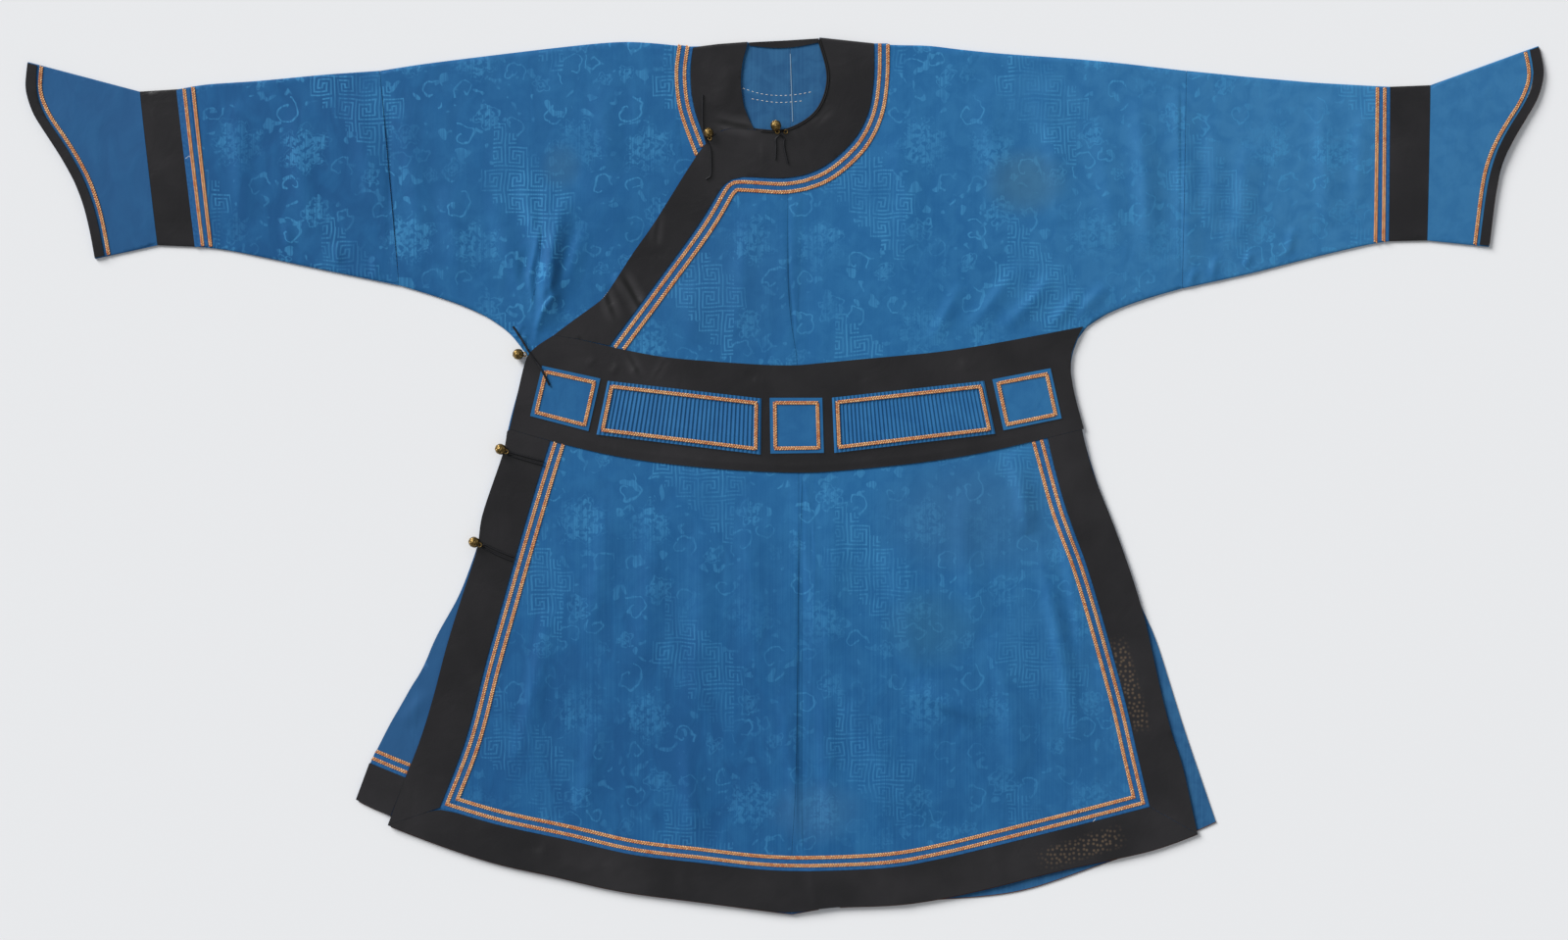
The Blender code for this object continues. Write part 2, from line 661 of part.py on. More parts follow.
def turn_down(builder, edge, row, level):
    """Turns a sheet's edge down round a fold, from its first row of corners to the back's height."""
    rows = [row]
    for step in range(1, ROLL_STEPS + 1):
        angle = math.pi * (0.5 - step / ROLL_STEPS)
        ring = []
        for outer, normal in edge:
            radius = fold_radius(level(outer.x))
            spot = outer + normal * radius * (1 - math.cos(angle))
            ring.append(builder.verts.new((spot.x, spot.y, BACK + radius + radius * math.sin(angle))))
        rows.append(ring)
    for upper, lower in zip(rows, rows[1:]):
        for a, b, c, d in zip(upper, upper[1:], lower[1:], lower):
            builder.faces.new((a, b, c, d))


def joined_sides(sides):
    """One anticlockwise loop from sides in order, and each side's places in it."""
    loop, runs = [], []
    for side in sides:
        shared = bool(loop) and (side.points[0] - loop[-1]).length < SAME_POINT
        first = len(loop) - shared
        loop += side.points[1:] if shared else side.points
        runs.append(list(range(first, len(loop))))
    if (loop[0] - loop[-1]).length < SAME_POINT:
        loop.pop()
        runs[-1][-1] = 0
    if area(loop) < 0:
        loop.reverse()
        runs = [[len(loop) - 1 - index for index in reversed(run)] for run in runs]
    return loop, runs


def key_of(point):
    return (round(point.x * 1e5), round(point.y * 1e5))


def panel(name, sides, level, finish, held=(), flats=(), folds=()):
    """A cloth panel from its sides.

    A rolled side turns down round a fold to the back, and a tucked one stops short of a front's
    fold. Where flats are given, the panel rises softly outside them, away from the held chains.
    """
    loop, runs = joined_sides(sides)
    steps = left_normals(loop, closed=True)
    loop = [point + step * GAP / 2 for point, step in zip(loop, steps)]
    outline = list(loop)
    rolled = []
    for side, run in zip(sides, runs):
        if side.kind == "cut":
            continue
        chain = [loop[index] for index in run]
        normals = left_normals(chain)
        for index, point, normal in zip(run, chain, normals):
            if side.kind == "rolled":
                outline[index] = point + normal * fold_radius(level(point.x))
            else:
                outline[index] = point + normal * (fold_radius(side.front(point.x)) + GAP)
        if side.kind == "rolled":
            rolled.append((run, list(zip(chain, normals))))

    rolled_edges = [[point for point, _ in edge] for _, edge in rolled]
    lines = [slope_line()]
    for chain in held:
        lines += clear_of(chain, rolled_edges)
    ridge = {}
    fold_chains = []
    for fold in folds:
        for chain in fold_lines(fold):
            fold_chains.append([point for point, _ in chain])
            ridge.update({key_of(point): height for point, height in chain})
    spots = []
    if flats:
        crowded = [outline + outline[:1]] + lines + fold_chains
        spots = grid_spots(outline, crowded)
        spots = [spot for spot in spots if not any(inside(spot, flat) for flat in flats)]
    held_here = list(held) + rolled_edges

    corners, faces = fill([outline], lines + fold_chains, spots)
    builder = bmesh.new()
    verts = {}
    for face in faces:
        for index in face:
            if index not in verts:
                spot = corners[index]
                height = level(spot.x) + ridge.get(key_of(spot), 0.0)
                if flats and not any(inside(spot, flat) for flat in flats):
                    height += puff(min(distance_to(spot, chain) for chain in held_here))
                verts[index] = builder.verts.new((spot.x, spot.y, height))
        builder.faces.new([verts[index] for index in face])
    places = {key_of(vert.co): vert for vert in builder.verts}
    for run, edge in rolled:
        row = [places[key_of(outline[index])] for index in run]
        turn_down(builder, edge, row, level)
    bmesh.ops.recalc_face_normals(builder, faces=builder.faces)
    return thicken(place_mesh(name, builder, finish), WALL)


def flat_piece(name, loops, level, lift, thickness, finish):
    """A trim that lies flat on the cloth below: closed loops filled, lifted and thickened."""
    loops = [shrunk(loops[0])] + loops[1:]
    corners, faces = fill(loops, [slope_line()])
    builder = bmesh.new()
    verts = {}
    for face in faces:
        for index in face:
            if index not in verts:
                spot = corners[index]
                verts[index] = builder.verts.new((spot.x, spot.y, level(spot.x) + lift))
        builder.faces.new([verts[index] for index in face])
    bmesh.ops.recalc_face_normals(builder, faces=builder.faces)
    return thicken(place_mesh(name, builder, finish), thickness)


def ribbon(name, chain, middle, level, start_edge, end_edge):
    """A braid beside a chain, to its left, drawn out at both ends to the edges that it meets."""
    strips = []
    for distance in (middle - BRAID_WIDTH / 2, middle + BRAID_WIDTH / 2):
        strip = reach(aside(chain, distance), start_edge)
        strips.append(reach(strip[::-1], end_edge)[::-1])
    return flat_piece(name, [strips[0] + strips[1][::-1]], level, ON_PANEL, TRIM, "braid")


def section_row(section, count=SECTION_POINTS, shift=0.0):
    top = Vector((section.x_top + shift, section.y_top))
    under = Vector((section.x_under + shift, section.y_under))
    return [top.lerp(under, index / (count - 1)) for index in range(count)]


def rows_between(first, second, share):
    return [a.lerp(b, share) for a, b in zip(first, second)]


def tube(name, rows, level, finish):
    """A flattened tube through rows of points, each running from the upper fold to the under seam."""
    builder = bmesh.new()
    radius = fold_radius(level)
    rings = []
    for row in rows:
        count = len(row)
        upper, under = (row[0] - row[1]).normalized(), (row[-1] - row[-2]).normalized()
        inner = [row[0] - upper * radius] + row[1:-1] + [row[-1] - under * radius]
        ring = [(spot, level + section_rise(index, count)) for index, spot in enumerate(inner)]
        turns = [math.pi * (0.5 - step / ROLL_STEPS) for step in range(1, ROLL_STEPS)]
        middle = BACK + radius
        ring += [(inner[-1] + under * radius * math.cos(a), middle + radius * math.sin(a)) for a in turns]
        ring += [(spot, BACK) for spot in reversed(inner)]
        ring += [(inner[0] + upper * radius * math.cos(a), middle - radius * math.sin(a)) for a in turns]
        rings.append([builder.verts.new((spot.x, spot.y, height)) for spot, height in ring])
    for first, second in zip(rings, rings[1:]):
        for index, corner in enumerate(first):
            after = (index + 1) % len(first)
            builder.faces.new((corner, first[after], second[after], second[index]))
    bmesh.ops.recalc_face_normals(builder, faces=builder.faces)
    return thicken(place_mesh(name, builder, finish), WALL)


def strip_on_tube(name, first, second, level, finish):
    """A trim round the front of a tube, between two rows of points that run across it."""
    builder = bmesh.new()
    rows = []
    for row in (first, second):
        radius = fold_radius(level)
        first_share, last_share = radius / (row[1] - row[0]).length, radius / (row[-2] - row[-1]).length
        row = [row[0].lerp(row[1], first_share)] + row[1:-1] + [row[-1].lerp(row[-2], last_share)]
        heights = [level + section_rise(index, len(row)) + ON_PANEL for index in range(len(row))]
        rows.append([builder.verts.new((spot.x, spot.y, z)) for spot, z in zip(row, heights)])
    for a, b, c, d in zip(rows[0], rows[0][1:], rows[1][1:], rows[1]):
        builder.faces.new((a, b, c, d))
    bmesh.ops.recalc_face_normals(builder, faces=builder.faces)
    return thicken(place_mesh(name, builder, finish), TRIM)


def row_inside(edge_row, root_row, distance):
    """A row of a cuff at a distance in from its outer edge, on the lines to its root."""
    moved = []
    for spot, root, normal in zip(edge_row, root_row, left_normals(edge_row)):
        depth = abs(normal.normalized().dot(root - spot))
        moved.append(spot.lerp(root, distance / depth))
    return moved


def arm(side, sections, hoof_edge, level):
    """One arm: sleeve, black band and hoof cuff, with their trims. Outward is away from the body."""
    outward = -1 if side == "right" else 1
    hoof = resample(smooth(hoof_edge), HOOF_POINTS)
    root = section_row(sections[0], HOOF_POINTS, outward * GAP / 2)
    tube(f"hoof_cuff_{side}", [hoof, root], level, "damask")
    inner_edge = row_inside(hoof, root, HOOF_BORDER)
    strip_on_tube(f"hoof_border_{side}", hoof, inner_edge, level, "satin")
    braid = [row_inside(hoof, root, HOOF_BRAID + shift * BRAID_WIDTH / 2) for shift in (-1, 1)]
    strip_on_tube(f"hoof_braid_{side}", braid[0], braid[1], level, "braid")

    band = [
        section_row(sections[0], shift=-outward * GAP / 2),
        section_row(sections[1], shift=outward * GAP / 2),
    ]
    tube(f"sleeve_band_{side}", band, level, "satin")

    rows = [section_row(section) for section in sections[1:]]
    rows[0] = section_row(sections[1], shift=-outward * GAP / 2)
    rows[-1] = section_row(sections[-1], shift=outward * GAP / 2)
    tube(f"sleeve_{side}", rows, level, "damask")
    span = abs(sections[1].x_under - sections[2].x_under)
    for place_name, middle in (("outer", BRAID_OUTER), ("inner", BRAID_INNER)):
        shares = [(middle + shift * BRAID_WIDTH / 2) / span for shift in (-1, 1)]
        first, last = (rows_between(rows[0], rows[1], share) for share in shares)
        strip_on_tube(f"sleeve_{side}_braid_{place_name}", first, last, level, "braid")


def corner_points(row):
    return [Vector(row.top_left), Vector(row.top_right), Vector(row.low_right), Vector(row.low_left)]


def pleated_panel(name, row, level):
    """A pleated waist panel: knife pleats raised over a plain underside."""
    top_left, top_right, low_right, low_left = corner_points(row)
    underside = ON_PANEL + TRIM / 2 + GAP
    builder = bmesh.new()
    columns = []
    for index in range(2 * row.count + 1):
        pleat, crest = divmod(index, 2)
        share = (pleat + PLEAT_LEAN * crest) / row.count
        height = underside + TRIM + PLEAT_RISE * crest
        ends = (low_left.lerp(low_right, share), top_left.lerp(top_right, share))
        columns.append([builder.verts.new((spot.x, spot.y, level(spot.x) + height)) for spot in ends])
    for left, right in zip(columns, columns[1:]):
        builder.faces.new((left[0], right[0], right[1], left[1]))
    drawn = bmesh.ops.extrude_face_region(builder, geom=builder.faces[:])["geom"]
    for vert in drawn:
        if isinstance(vert, bmesh.types.BMVert):
            vert.co.z = level(vert.co.x) + underside
    bmesh.ops.recalc_face_normals(builder, faces=builder.faces)
    return place_mesh(name, builder, "damask")


def waist_panels():
    for index, row in enumerate(PANELS):
        corners = corner_points(row)
        frame_lift = ON_PANEL + 2 * ON_TRIM
        if row.count:
            pleated_panel("waist_pleats_" + row.name, row, outer_level)
            frame_lift += PLEAT_RISE
        else:
            lift = ON_PANEL + ON_TRIM
            flat_piece("waist_square_" + row.name, [corners], outer_level, lift, TRIM, "damask")
        frame = [shrunk(corners, FRAME_MARGIN), shrunk(corners, FRAME_MARGIN + FRAME_WIDTH)]
        flat_piece(f"waist_braid_{index + 1}", frame, outer_level, frame_lift, TRIM, "braid")


def button(row):
    """A ball button with its neck and bead, turned about the line to the cloth."""
    profile = []
    for step in range(BALL_STEPS):
        angle = math.pi * step / (BALL_STEPS + 1)
        profile.append((row.radius * math.sin(angle), row.radius * math.cos(angle)))
    low = -row.radius * SHANK_SINK
    profile += [(SHANK_NECK, low), (SHANK_NECK, low - SHANK_NECK)]
    profile += [(SHANK_BEAD, low - turn * SHANK_NECK) for turn in (BEAD_START, BEAD_END)]
    profile.append((0.0, low - SHANK_LENGTH))
    mesh = bpy.data.meshes.new(row.name)
    links = [(index, index + 1) for index in range(len(profile) - 1)]
    mesh.from_pydata([(x, 0.0, z) for x, z in profile], links, [])
    piece = place(row.name, mesh, "brass")
    turn = piece.modifiers.new("turn", "SCREW")
    turn.steps = TURN_STEPS
    turn.render_steps = TURN_STEPS
    turn.use_merge_vertices = True
    turn.merge_threshold = TURN_MERGE
    turn.use_smooth_shade = True
    piece.location = (row.x, row.y, row.z)
    piece.rotation_mode = "QUATERNION"
    piece.rotation_quaternion = Vector((-row.shank_x, -row.shank_y, -row.shank_z)).to_track_quat("Z", "Y")
    return piece


def cord(name, rows):
    """A round cord along its route, resting on the cloth below it."""
    route = [Vector((row.x, row.y, RESTS[row.rests_on] + GAP + CORD_RADIUS)) for row in rows]
    points = smooth(route, CORD_STEP * CORD_RADIUS)
    curve = bpy.data.curves.new(name, "CURVE")
    curve.dimensions = "3D"
    curve.bevel_depth = CORD_RADIUS
    curve.bevel_resolution = 2
    curve.use_fill_caps = True
    spline = curve.splines.new("POLY")
    spline.points.add(len(points) - 1)
    for spot, point in zip(spline.points, points):
        spot.co = (point.x, point.y, point.z, 1.0)
    return place(name, curve, "cord")


def back_panels(lines):
    """The back, in four panels with a centre seam and a seam under the waistband."""
    top = Vector((BACK_SEAM_X, BACK_NECK_TOP_Y))
    neck = lines.neck_back_top
    waist_right, waist_left = cut_at(lines.waist_join, SKIRT_CENTRE[0].x)
    bodice_seam = [top, Vector((BACK_SEAM_X, BACK_SEAM_BEND_Y)), waist_left[0]]
    waist_right = [lines.side_right_inner[-1]] + waist_right[1:]
    skirt_seam = [waist_left[0], Vector(BACK_SKIRT_SEAM_BEND), lines.back_hem_left[0]]
    under_right = lines.underarm_right + lines.side_right_inner[1:]
    under_left = lines.underarm_left + lines.side_left[1:]
    panel(
        "back_bodice_right",
        [
            Side(lines.shoulder_right, "tucked", inner_level),
            Side([spot for spot in neck[1:] if spot.x < BACK_SEAM_X - SEAM_CLEARANCE] + [top]),
            Side(bodice_seam),
            Side(waist_right[::-1]),
            Side(under_right[::-1], "tucked", inner_level),
            Side([under_right[0], lines.shoulder_right[0]]),
        ],
        back_level,
        "lining",
    )
    panel(
        "back_bodice_left",
        [
            Side([top] + [spot for spot in neck[:-1] if spot.x > BACK_SEAM_X + SEAM_CLEARANCE]),
            Side(lines.shoulder_left, "tucked", outer_level),
            Side([lines.shoulder_left[-1], under_left[0]]),
            Side(under_left, "tucked", outer_level),
            Side(waist_left[::-1]),
            Side(bodice_seam[::-1]),
        ],
        back_level,
        "lining",
    )
    panel(
        "back_skirt_right",
        [
            Side(waist_right),
            Side(skirt_seam),
            Side(lines.back_hem_right[::-1]),
            Side(lines.back_side_right[:0:-1]),
        ],
        back_level,
        "lining",
    )
    panel(
        "back_skirt_left",
        [
            Side(waist_left),
            Side(lines.back_side_left[1:]),
            Side(lines.back_hem_left[::-1]),
            Side(skirt_seam[::-1]),
        ],
        back_level,
        "lining",
    )


def inner_front(lines):
    """The inner front under the overlap, with its collar and hem trims."""
    waist, _ = cut_at(lines.waist_join, INNER_EDGE_X)
    waist = [lines.side_right_inner[-1]] + waist[1:]
    neck_low = Vector((INNER_EDGE_X, INNER_NECK_LOW_Y))
    under = lines.underarm_right + lines.side_right_inner[1:]
    collar = lines.inner_collar_edge[::-1]
    collar_field = drawn_out(aside(collar, FIELD_EDGE), start=INNER_FIELD_REACH)
    collar_flat = collar_field + vectors(CLOSE_INNER_COLLAR)
    collar_flat.append(Vector((CLOSE_INNER_COLLAR[-1].x, collar_field[0].y)))
    overlap_flat = lines.overlap_edge + vectors(CLOSE_OVERLAP)
    panel(
        "inner_front_bodice",
        [
            Side(lines.shoulder_right, "rolled"),
            Side(lines.neck_right + [neck_low]),
            Side([neck_low, waist[-1]]),
            Side(waist[::-1]),
            Side(under[::-1], "rolled"),
            Side([under[0], lines.shoulder_right[0]]),
        ],
        inner_level,
        "damask",
        held=[collar_field, lines.overlap_edge],
        flats=[[collar_flat], [overlap_flat]],
        folds=FOLDS_INNER_BODICE,
    )
    panel(
        "inner_front_skirt",
        [
            Side(waist),
            Side([waist[-1], lines.inner_skirt_hem[-1]]),
            Side(lines.inner_skirt_hem[::-1]),
            Side(lines.inner_skirt_side[::-1]),
        ],
        inner_level,
        "damask",
    )
    shoulder = lowered(lines.shoulder_right)
    overlap_near, _ = cut_at(lines.overlap_edge[::-1], collar[0].x, keep="right")
    border = [spot for spot in shoulder if collar[-1].x < spot.x < INNER_COLLAR_CORNER.x + BORDER_STEP]
    border += [Vector(INNER_COLLAR_CORNER)] + lines.neck_right[1:] + overlap_near[::-1][1:] + collar
    flat_piece("inner_collar_border", [border], inner_level, ON_PANEL, TRIM, "satin")
    for place_name, middle in (("outer", BRAID_OUTER), ("inner", BRAID_INNER)):
        ribbon(f"inner_collar_braid_{place_name}", collar, middle, inner_level, lines.overlap_edge, shoulder)
        ribbon(
            f"inner_hem_braid_{place_name}",
            lines.inner_hem_top,
            middle,
            inner_level,
            lines.inner_skirt_side,
            lines.skirt_side_right,
        )
    low, high = INNER_HEM_SIDE_LOW_Y, INNER_HEM_SIDE_HIGH_Y
    side = [spot for spot in lines.skirt_side_right if low < spot.y < high]
    hem = [lines.inner_hem_top[0], Vector(INNER_HEM_TOP_CORNER)] + side
    hem += vectors(INNER_HEM_LOW_CORNERS) + [lines.inner_skirt_hem[0]]
    flat_piece("inner_hem_border", [hem], inner_level, ON_PANEL, TRIM, "satin")


def outer_front(lines):
    """The outer front: left half and overlap, bodice and skirt."""
    collar_field = aside(lines.collar_inside, FIELD_EDGE)
    collar_flat = collar_field + vectors(CLOSE_COLLAR)
    band_flat = lines.band_top + vectors(CLOSE_BAND)
    held = [collar_field, lines.band_top]
    waist_right, waist_left = cut_at(lines.waist_join, SKIRT_CENTRE[0].x)
    under = lines.underarm_left + lines.side_left[1:]
    panel(
        "front_bodice_left",
        [
            Side(lines.shoulder_left, "rolled"),
            Side([lines.shoulder_left[-1], under[0]]),
            Side(under, "rolled"),
            Side(waist_left[::-1]),
            Side(lines.bodice_centre[::-1]),
            Side(lines.neck_left[::-1]),
        ],
        outer_level,
        "damask",
        held=held,
        flats=[[collar_flat], [band_flat]],
        folds=FOLDS_LEFT_BODICE,
    )
    panel(
        "front_bodice_overlap",
        [
            Side(lines.neck_front),
            Side(lines.overlap_edge),
            Side(lines.side_right_outer),
            Side(waist_right),
            Side(lines.bodice_centre[::-1]),
        ],
        outer_level,
        "damask",
        held=held,
        flats=[[collar_flat], [band_flat]],
    )
    trim = lines.trim_right + lines.trim_hem[1:] + lines.trim_left[1:]
    skirt_field = drawn_out(aside(trim, FIELD_EDGE), start=SKIRT_FIELD_REACH, end=SKIRT_FIELD_REACH)
    above_band = lines.band_low + vectors(CLOSE_SKIRT)
    held = [skirt_field, lines.band_low]
    flats = [[vectors(CLOSE_ROBE), skirt_field], [above_band]]
    panel(
        "front_skirt_overlap",
        [
            Side(waist_right),
            Side(lines.skirt_centre),
            Side(lines.hem_right[::-1]),
            Side(lines.skirt_side_right[::-1]),
        ],
        outer_level,
        "damask",
        held=held,
        flats=flats,
        folds=FOLDS_OVERLAP_SKIRT,
    )
    panel(
        "front_skirt_left",
        [
            Side(waist_left),
            Side(lines.skirt_side_left),
            Side(lines.hem_left[::-1]),
            Side(lines.skirt_centre[::-1]),
        ],
        outer_level,
        "damask",
        held=held,
        flats=flats,
        folds=FOLDS_LEFT_SKIRT,
    )


def outer_trims(lines):
    """Black borders, waistband and braids of the outer front."""
    shoulder = lowered(lines.shoulder_left)
    overlap = [spot for spot in lines.overlap_edge if spot.x > BAND_TOP[1].x + NEAR]
    foot = [spot for spot in lines.band_top if BAND_TOP[1].x - NEAR < spot.x < BAND_TOP[2].x - NEAR]
    collar = lowered(lines.neck_left[:1]) + lines.neck_left[1:] + lines.neck_front[1:] + overlap[1:]
    collar += foot + lines.collar_inside[::-1]
    collar[-1] = Vector(COLLAR_CORNER)
    flat_piece("collar_border", [collar], outer_level, ON_PANEL, TRIM, "satin")
    back_neck = lines.neck_back_low + lines.neck_back_top[::-1]
    flat_piece("back_neck_border", [back_neck], back_level, ON_PANEL, TRIM, "satin")

    band = lines.band_top + lines.side_left[1:] + [Vector(SKIRT_SIDE_LEFT[1])]
    band += lines.band_low[::-1] + lines.side_right_outer[::-1][:-1]
    flat_piece("waistband", [band], outer_level, ON_PANEL, TRIM, "satin")
    waist_panels()

    _, low_right = cut_at(lines.band_low, BAND_LOW[0].x + BORDER_STEP)
    low_right, _ = cut_at(low_right, TRIM_RIGHT[0].x)
    side = [spot for spot in lines.skirt_side_right if spot.y < BORDER_RIGHT_TOP_Y]
    border = low_right[::-1] + side + lines.trim_right[::-1][:-1]
    flat_piece("skirt_border_right", [border], outer_level, ON_PANEL, TRIM, "satin")
    hem = lines.hem_right + lines.hem_left[1:] + lines.trim_hem[::-1]
    flat_piece("skirt_border_hem", [hem], outer_level, ON_PANEL, TRIM, "satin")
    _, low_left = cut_at(lines.band_low, TRIM_LEFT[-1].x + 2 * BORDER_STEP)
    low_left, _ = cut_at(low_left, BORDER_LEFT_END_X)
    side = [spot for spot in lines.skirt_side_left if spot.y < BORDER_LEFT_TOP_Y]
    border = low_left + side + lines.trim_left[:-1]
    flat_piece("skirt_border_left", [border], outer_level, ON_PANEL, TRIM, "satin")

    trim = lines.trim_right + lines.trim_hem[1:] + lines.trim_left[1:]
    for place_name, middle in (("outer", BRAID_OUTER), ("inner", BRAID_INNER)):
        ribbon(f"collar_braid_{place_name}", lines.collar_inside, middle, outer_level, shoulder, lines.band_top)
        ribbon(f"skirt_braid_{place_name}", trim, middle, outer_level, lines.band_low, lines.band_low)


def lowered(chain):
    """The shoulder's line, brought down to where the front lies flat below its fold."""
    return [Vector((spot.x, spot.y - SHOULDER_DROP)) for spot in chain]


def cut_at(chain, x, keep="both"):
    """A chain that runs towards +X cut in two at an X, with the cut point in both."""
    for index, (start, end) in enumerate(zip(chain, chain[1:])):
        if start.x <= x <= end.x and end.x > start.x:
            spot = start.lerp(end, (x - start.x) / (end.x - start.x))
            before = [point for point in chain[: index + 1] if (point - spot).length > SAME_POINT] + [spot]
            after = [spot] + [point for point in chain[index + 1 :] if (point - spot).length > SAME_POINT]
            return (after, before) if keep == "right" else (before, after)
    raise ValueError(f"no point of the chain is at x = {x}")


def main():
    for item in list(bpy.data.objects):
        bpy.data.objects.remove(item, do_unlink=True)
    robe = bpy.data.collections.new("court_robe")
    bpy.context.scene.collection.children.link(robe)

    lines = SimpleNamespace(**{name: smooth(table) for name, table in TABLES.items()})
    back_panels(lines)
    inner_front(lines)
    outer_front(lines)
    outer_trims(lines)
    arm("right", ARM_RIGHT, HOOF_EDGE_RIGHT, INNER)
    arm("left", ARM_LEFT, HOOF_EDGE_LEFT, outer_level(ARM_LEFT[-1].x_under))
    for row in BUTTONS:
        button(row)
    for name, rows in LOOPS.items():
        cord(name, rows)


main()
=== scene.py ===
"""Builds the looks of a right-closing court robe, laid flat and face up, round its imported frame.

Lengths are in metres. X runs across the sleeves, +Y up the robe to its neck and +Z out of its front.
Right and left are the wearer's: right is -X.
"""

from __future__ import annotations

import logging
import math
from dataclasses import dataclass, field
from enum import Enum
from functools import cached_property
from typing import Sequence

import bmesh
import bpy
import numpy as np
from mathutils import Matrix, Vector
from mathutils.bvhtree import BVHTree

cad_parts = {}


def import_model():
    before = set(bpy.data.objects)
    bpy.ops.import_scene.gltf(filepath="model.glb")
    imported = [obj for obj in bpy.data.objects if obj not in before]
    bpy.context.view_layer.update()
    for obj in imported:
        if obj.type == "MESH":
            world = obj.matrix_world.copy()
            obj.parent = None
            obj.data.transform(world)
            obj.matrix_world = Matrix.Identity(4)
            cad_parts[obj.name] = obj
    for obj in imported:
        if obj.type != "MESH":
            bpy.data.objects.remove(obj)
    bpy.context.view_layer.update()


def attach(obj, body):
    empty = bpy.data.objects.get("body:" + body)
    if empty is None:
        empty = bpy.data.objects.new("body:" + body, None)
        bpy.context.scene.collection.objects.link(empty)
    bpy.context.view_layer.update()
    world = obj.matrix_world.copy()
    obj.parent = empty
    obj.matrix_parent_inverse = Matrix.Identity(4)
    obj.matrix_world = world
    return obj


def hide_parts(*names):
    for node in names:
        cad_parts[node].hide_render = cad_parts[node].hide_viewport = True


logging.basicConfig(level=logging.INFO, format="%(message)s")
LOG = logging.getLogger("court_robe")

BODY = "root"
SIDES = ("right", "left")
BACKS = ("back_bodice_right", "back_bodice_left")
FRAMES = tuple(f"waist_braid_{number}" for number in range(1, 6))
BORDER_CELLS = (0.006, 0.009)
TENTHS = 10000.0
SHARP_TURN = math.radians(38.0)
TINY = 1e-9
Array = np.ndarray
Point = tuple[float, float]
Colour = tuple[float, float, float]
Material = bpy.types.Material
Socket = bpy.types.NodeSocket


def edges_of(faces: Array) -> Array:
    """The directed edges of triangles: all the first ones, then all the second and the third ones."""
    return np.concatenate([faces[:, [0, 1]], faces[:, [1, 2]], faces[:, [2, 0]]])


def unit(vectors: Array, least: float = TINY) -> Array:
    """Each row at length 1; a row shorter than the least length is divided by that."""
    return vectors / np.maximum(np.linalg.norm(vectors, axis=1, keepdims=True), least)


def left_of(along: Array) -> Array:
    """Each direction turned a quarter to its left."""
    return np.stack([-along[:, 1], along[:, 0]], axis=1)


def wrapped(angles: Array) -> Array:
    """Angles brought between minus a half turn and a half turn."""
    return (angles + np.pi) % (2.0 * np.pi) - np.pi


def pair(name: str) -> tuple[str, str]:
    """The nodes of a double braid."""
    return f"{name}_outer", f"{name}_inner"


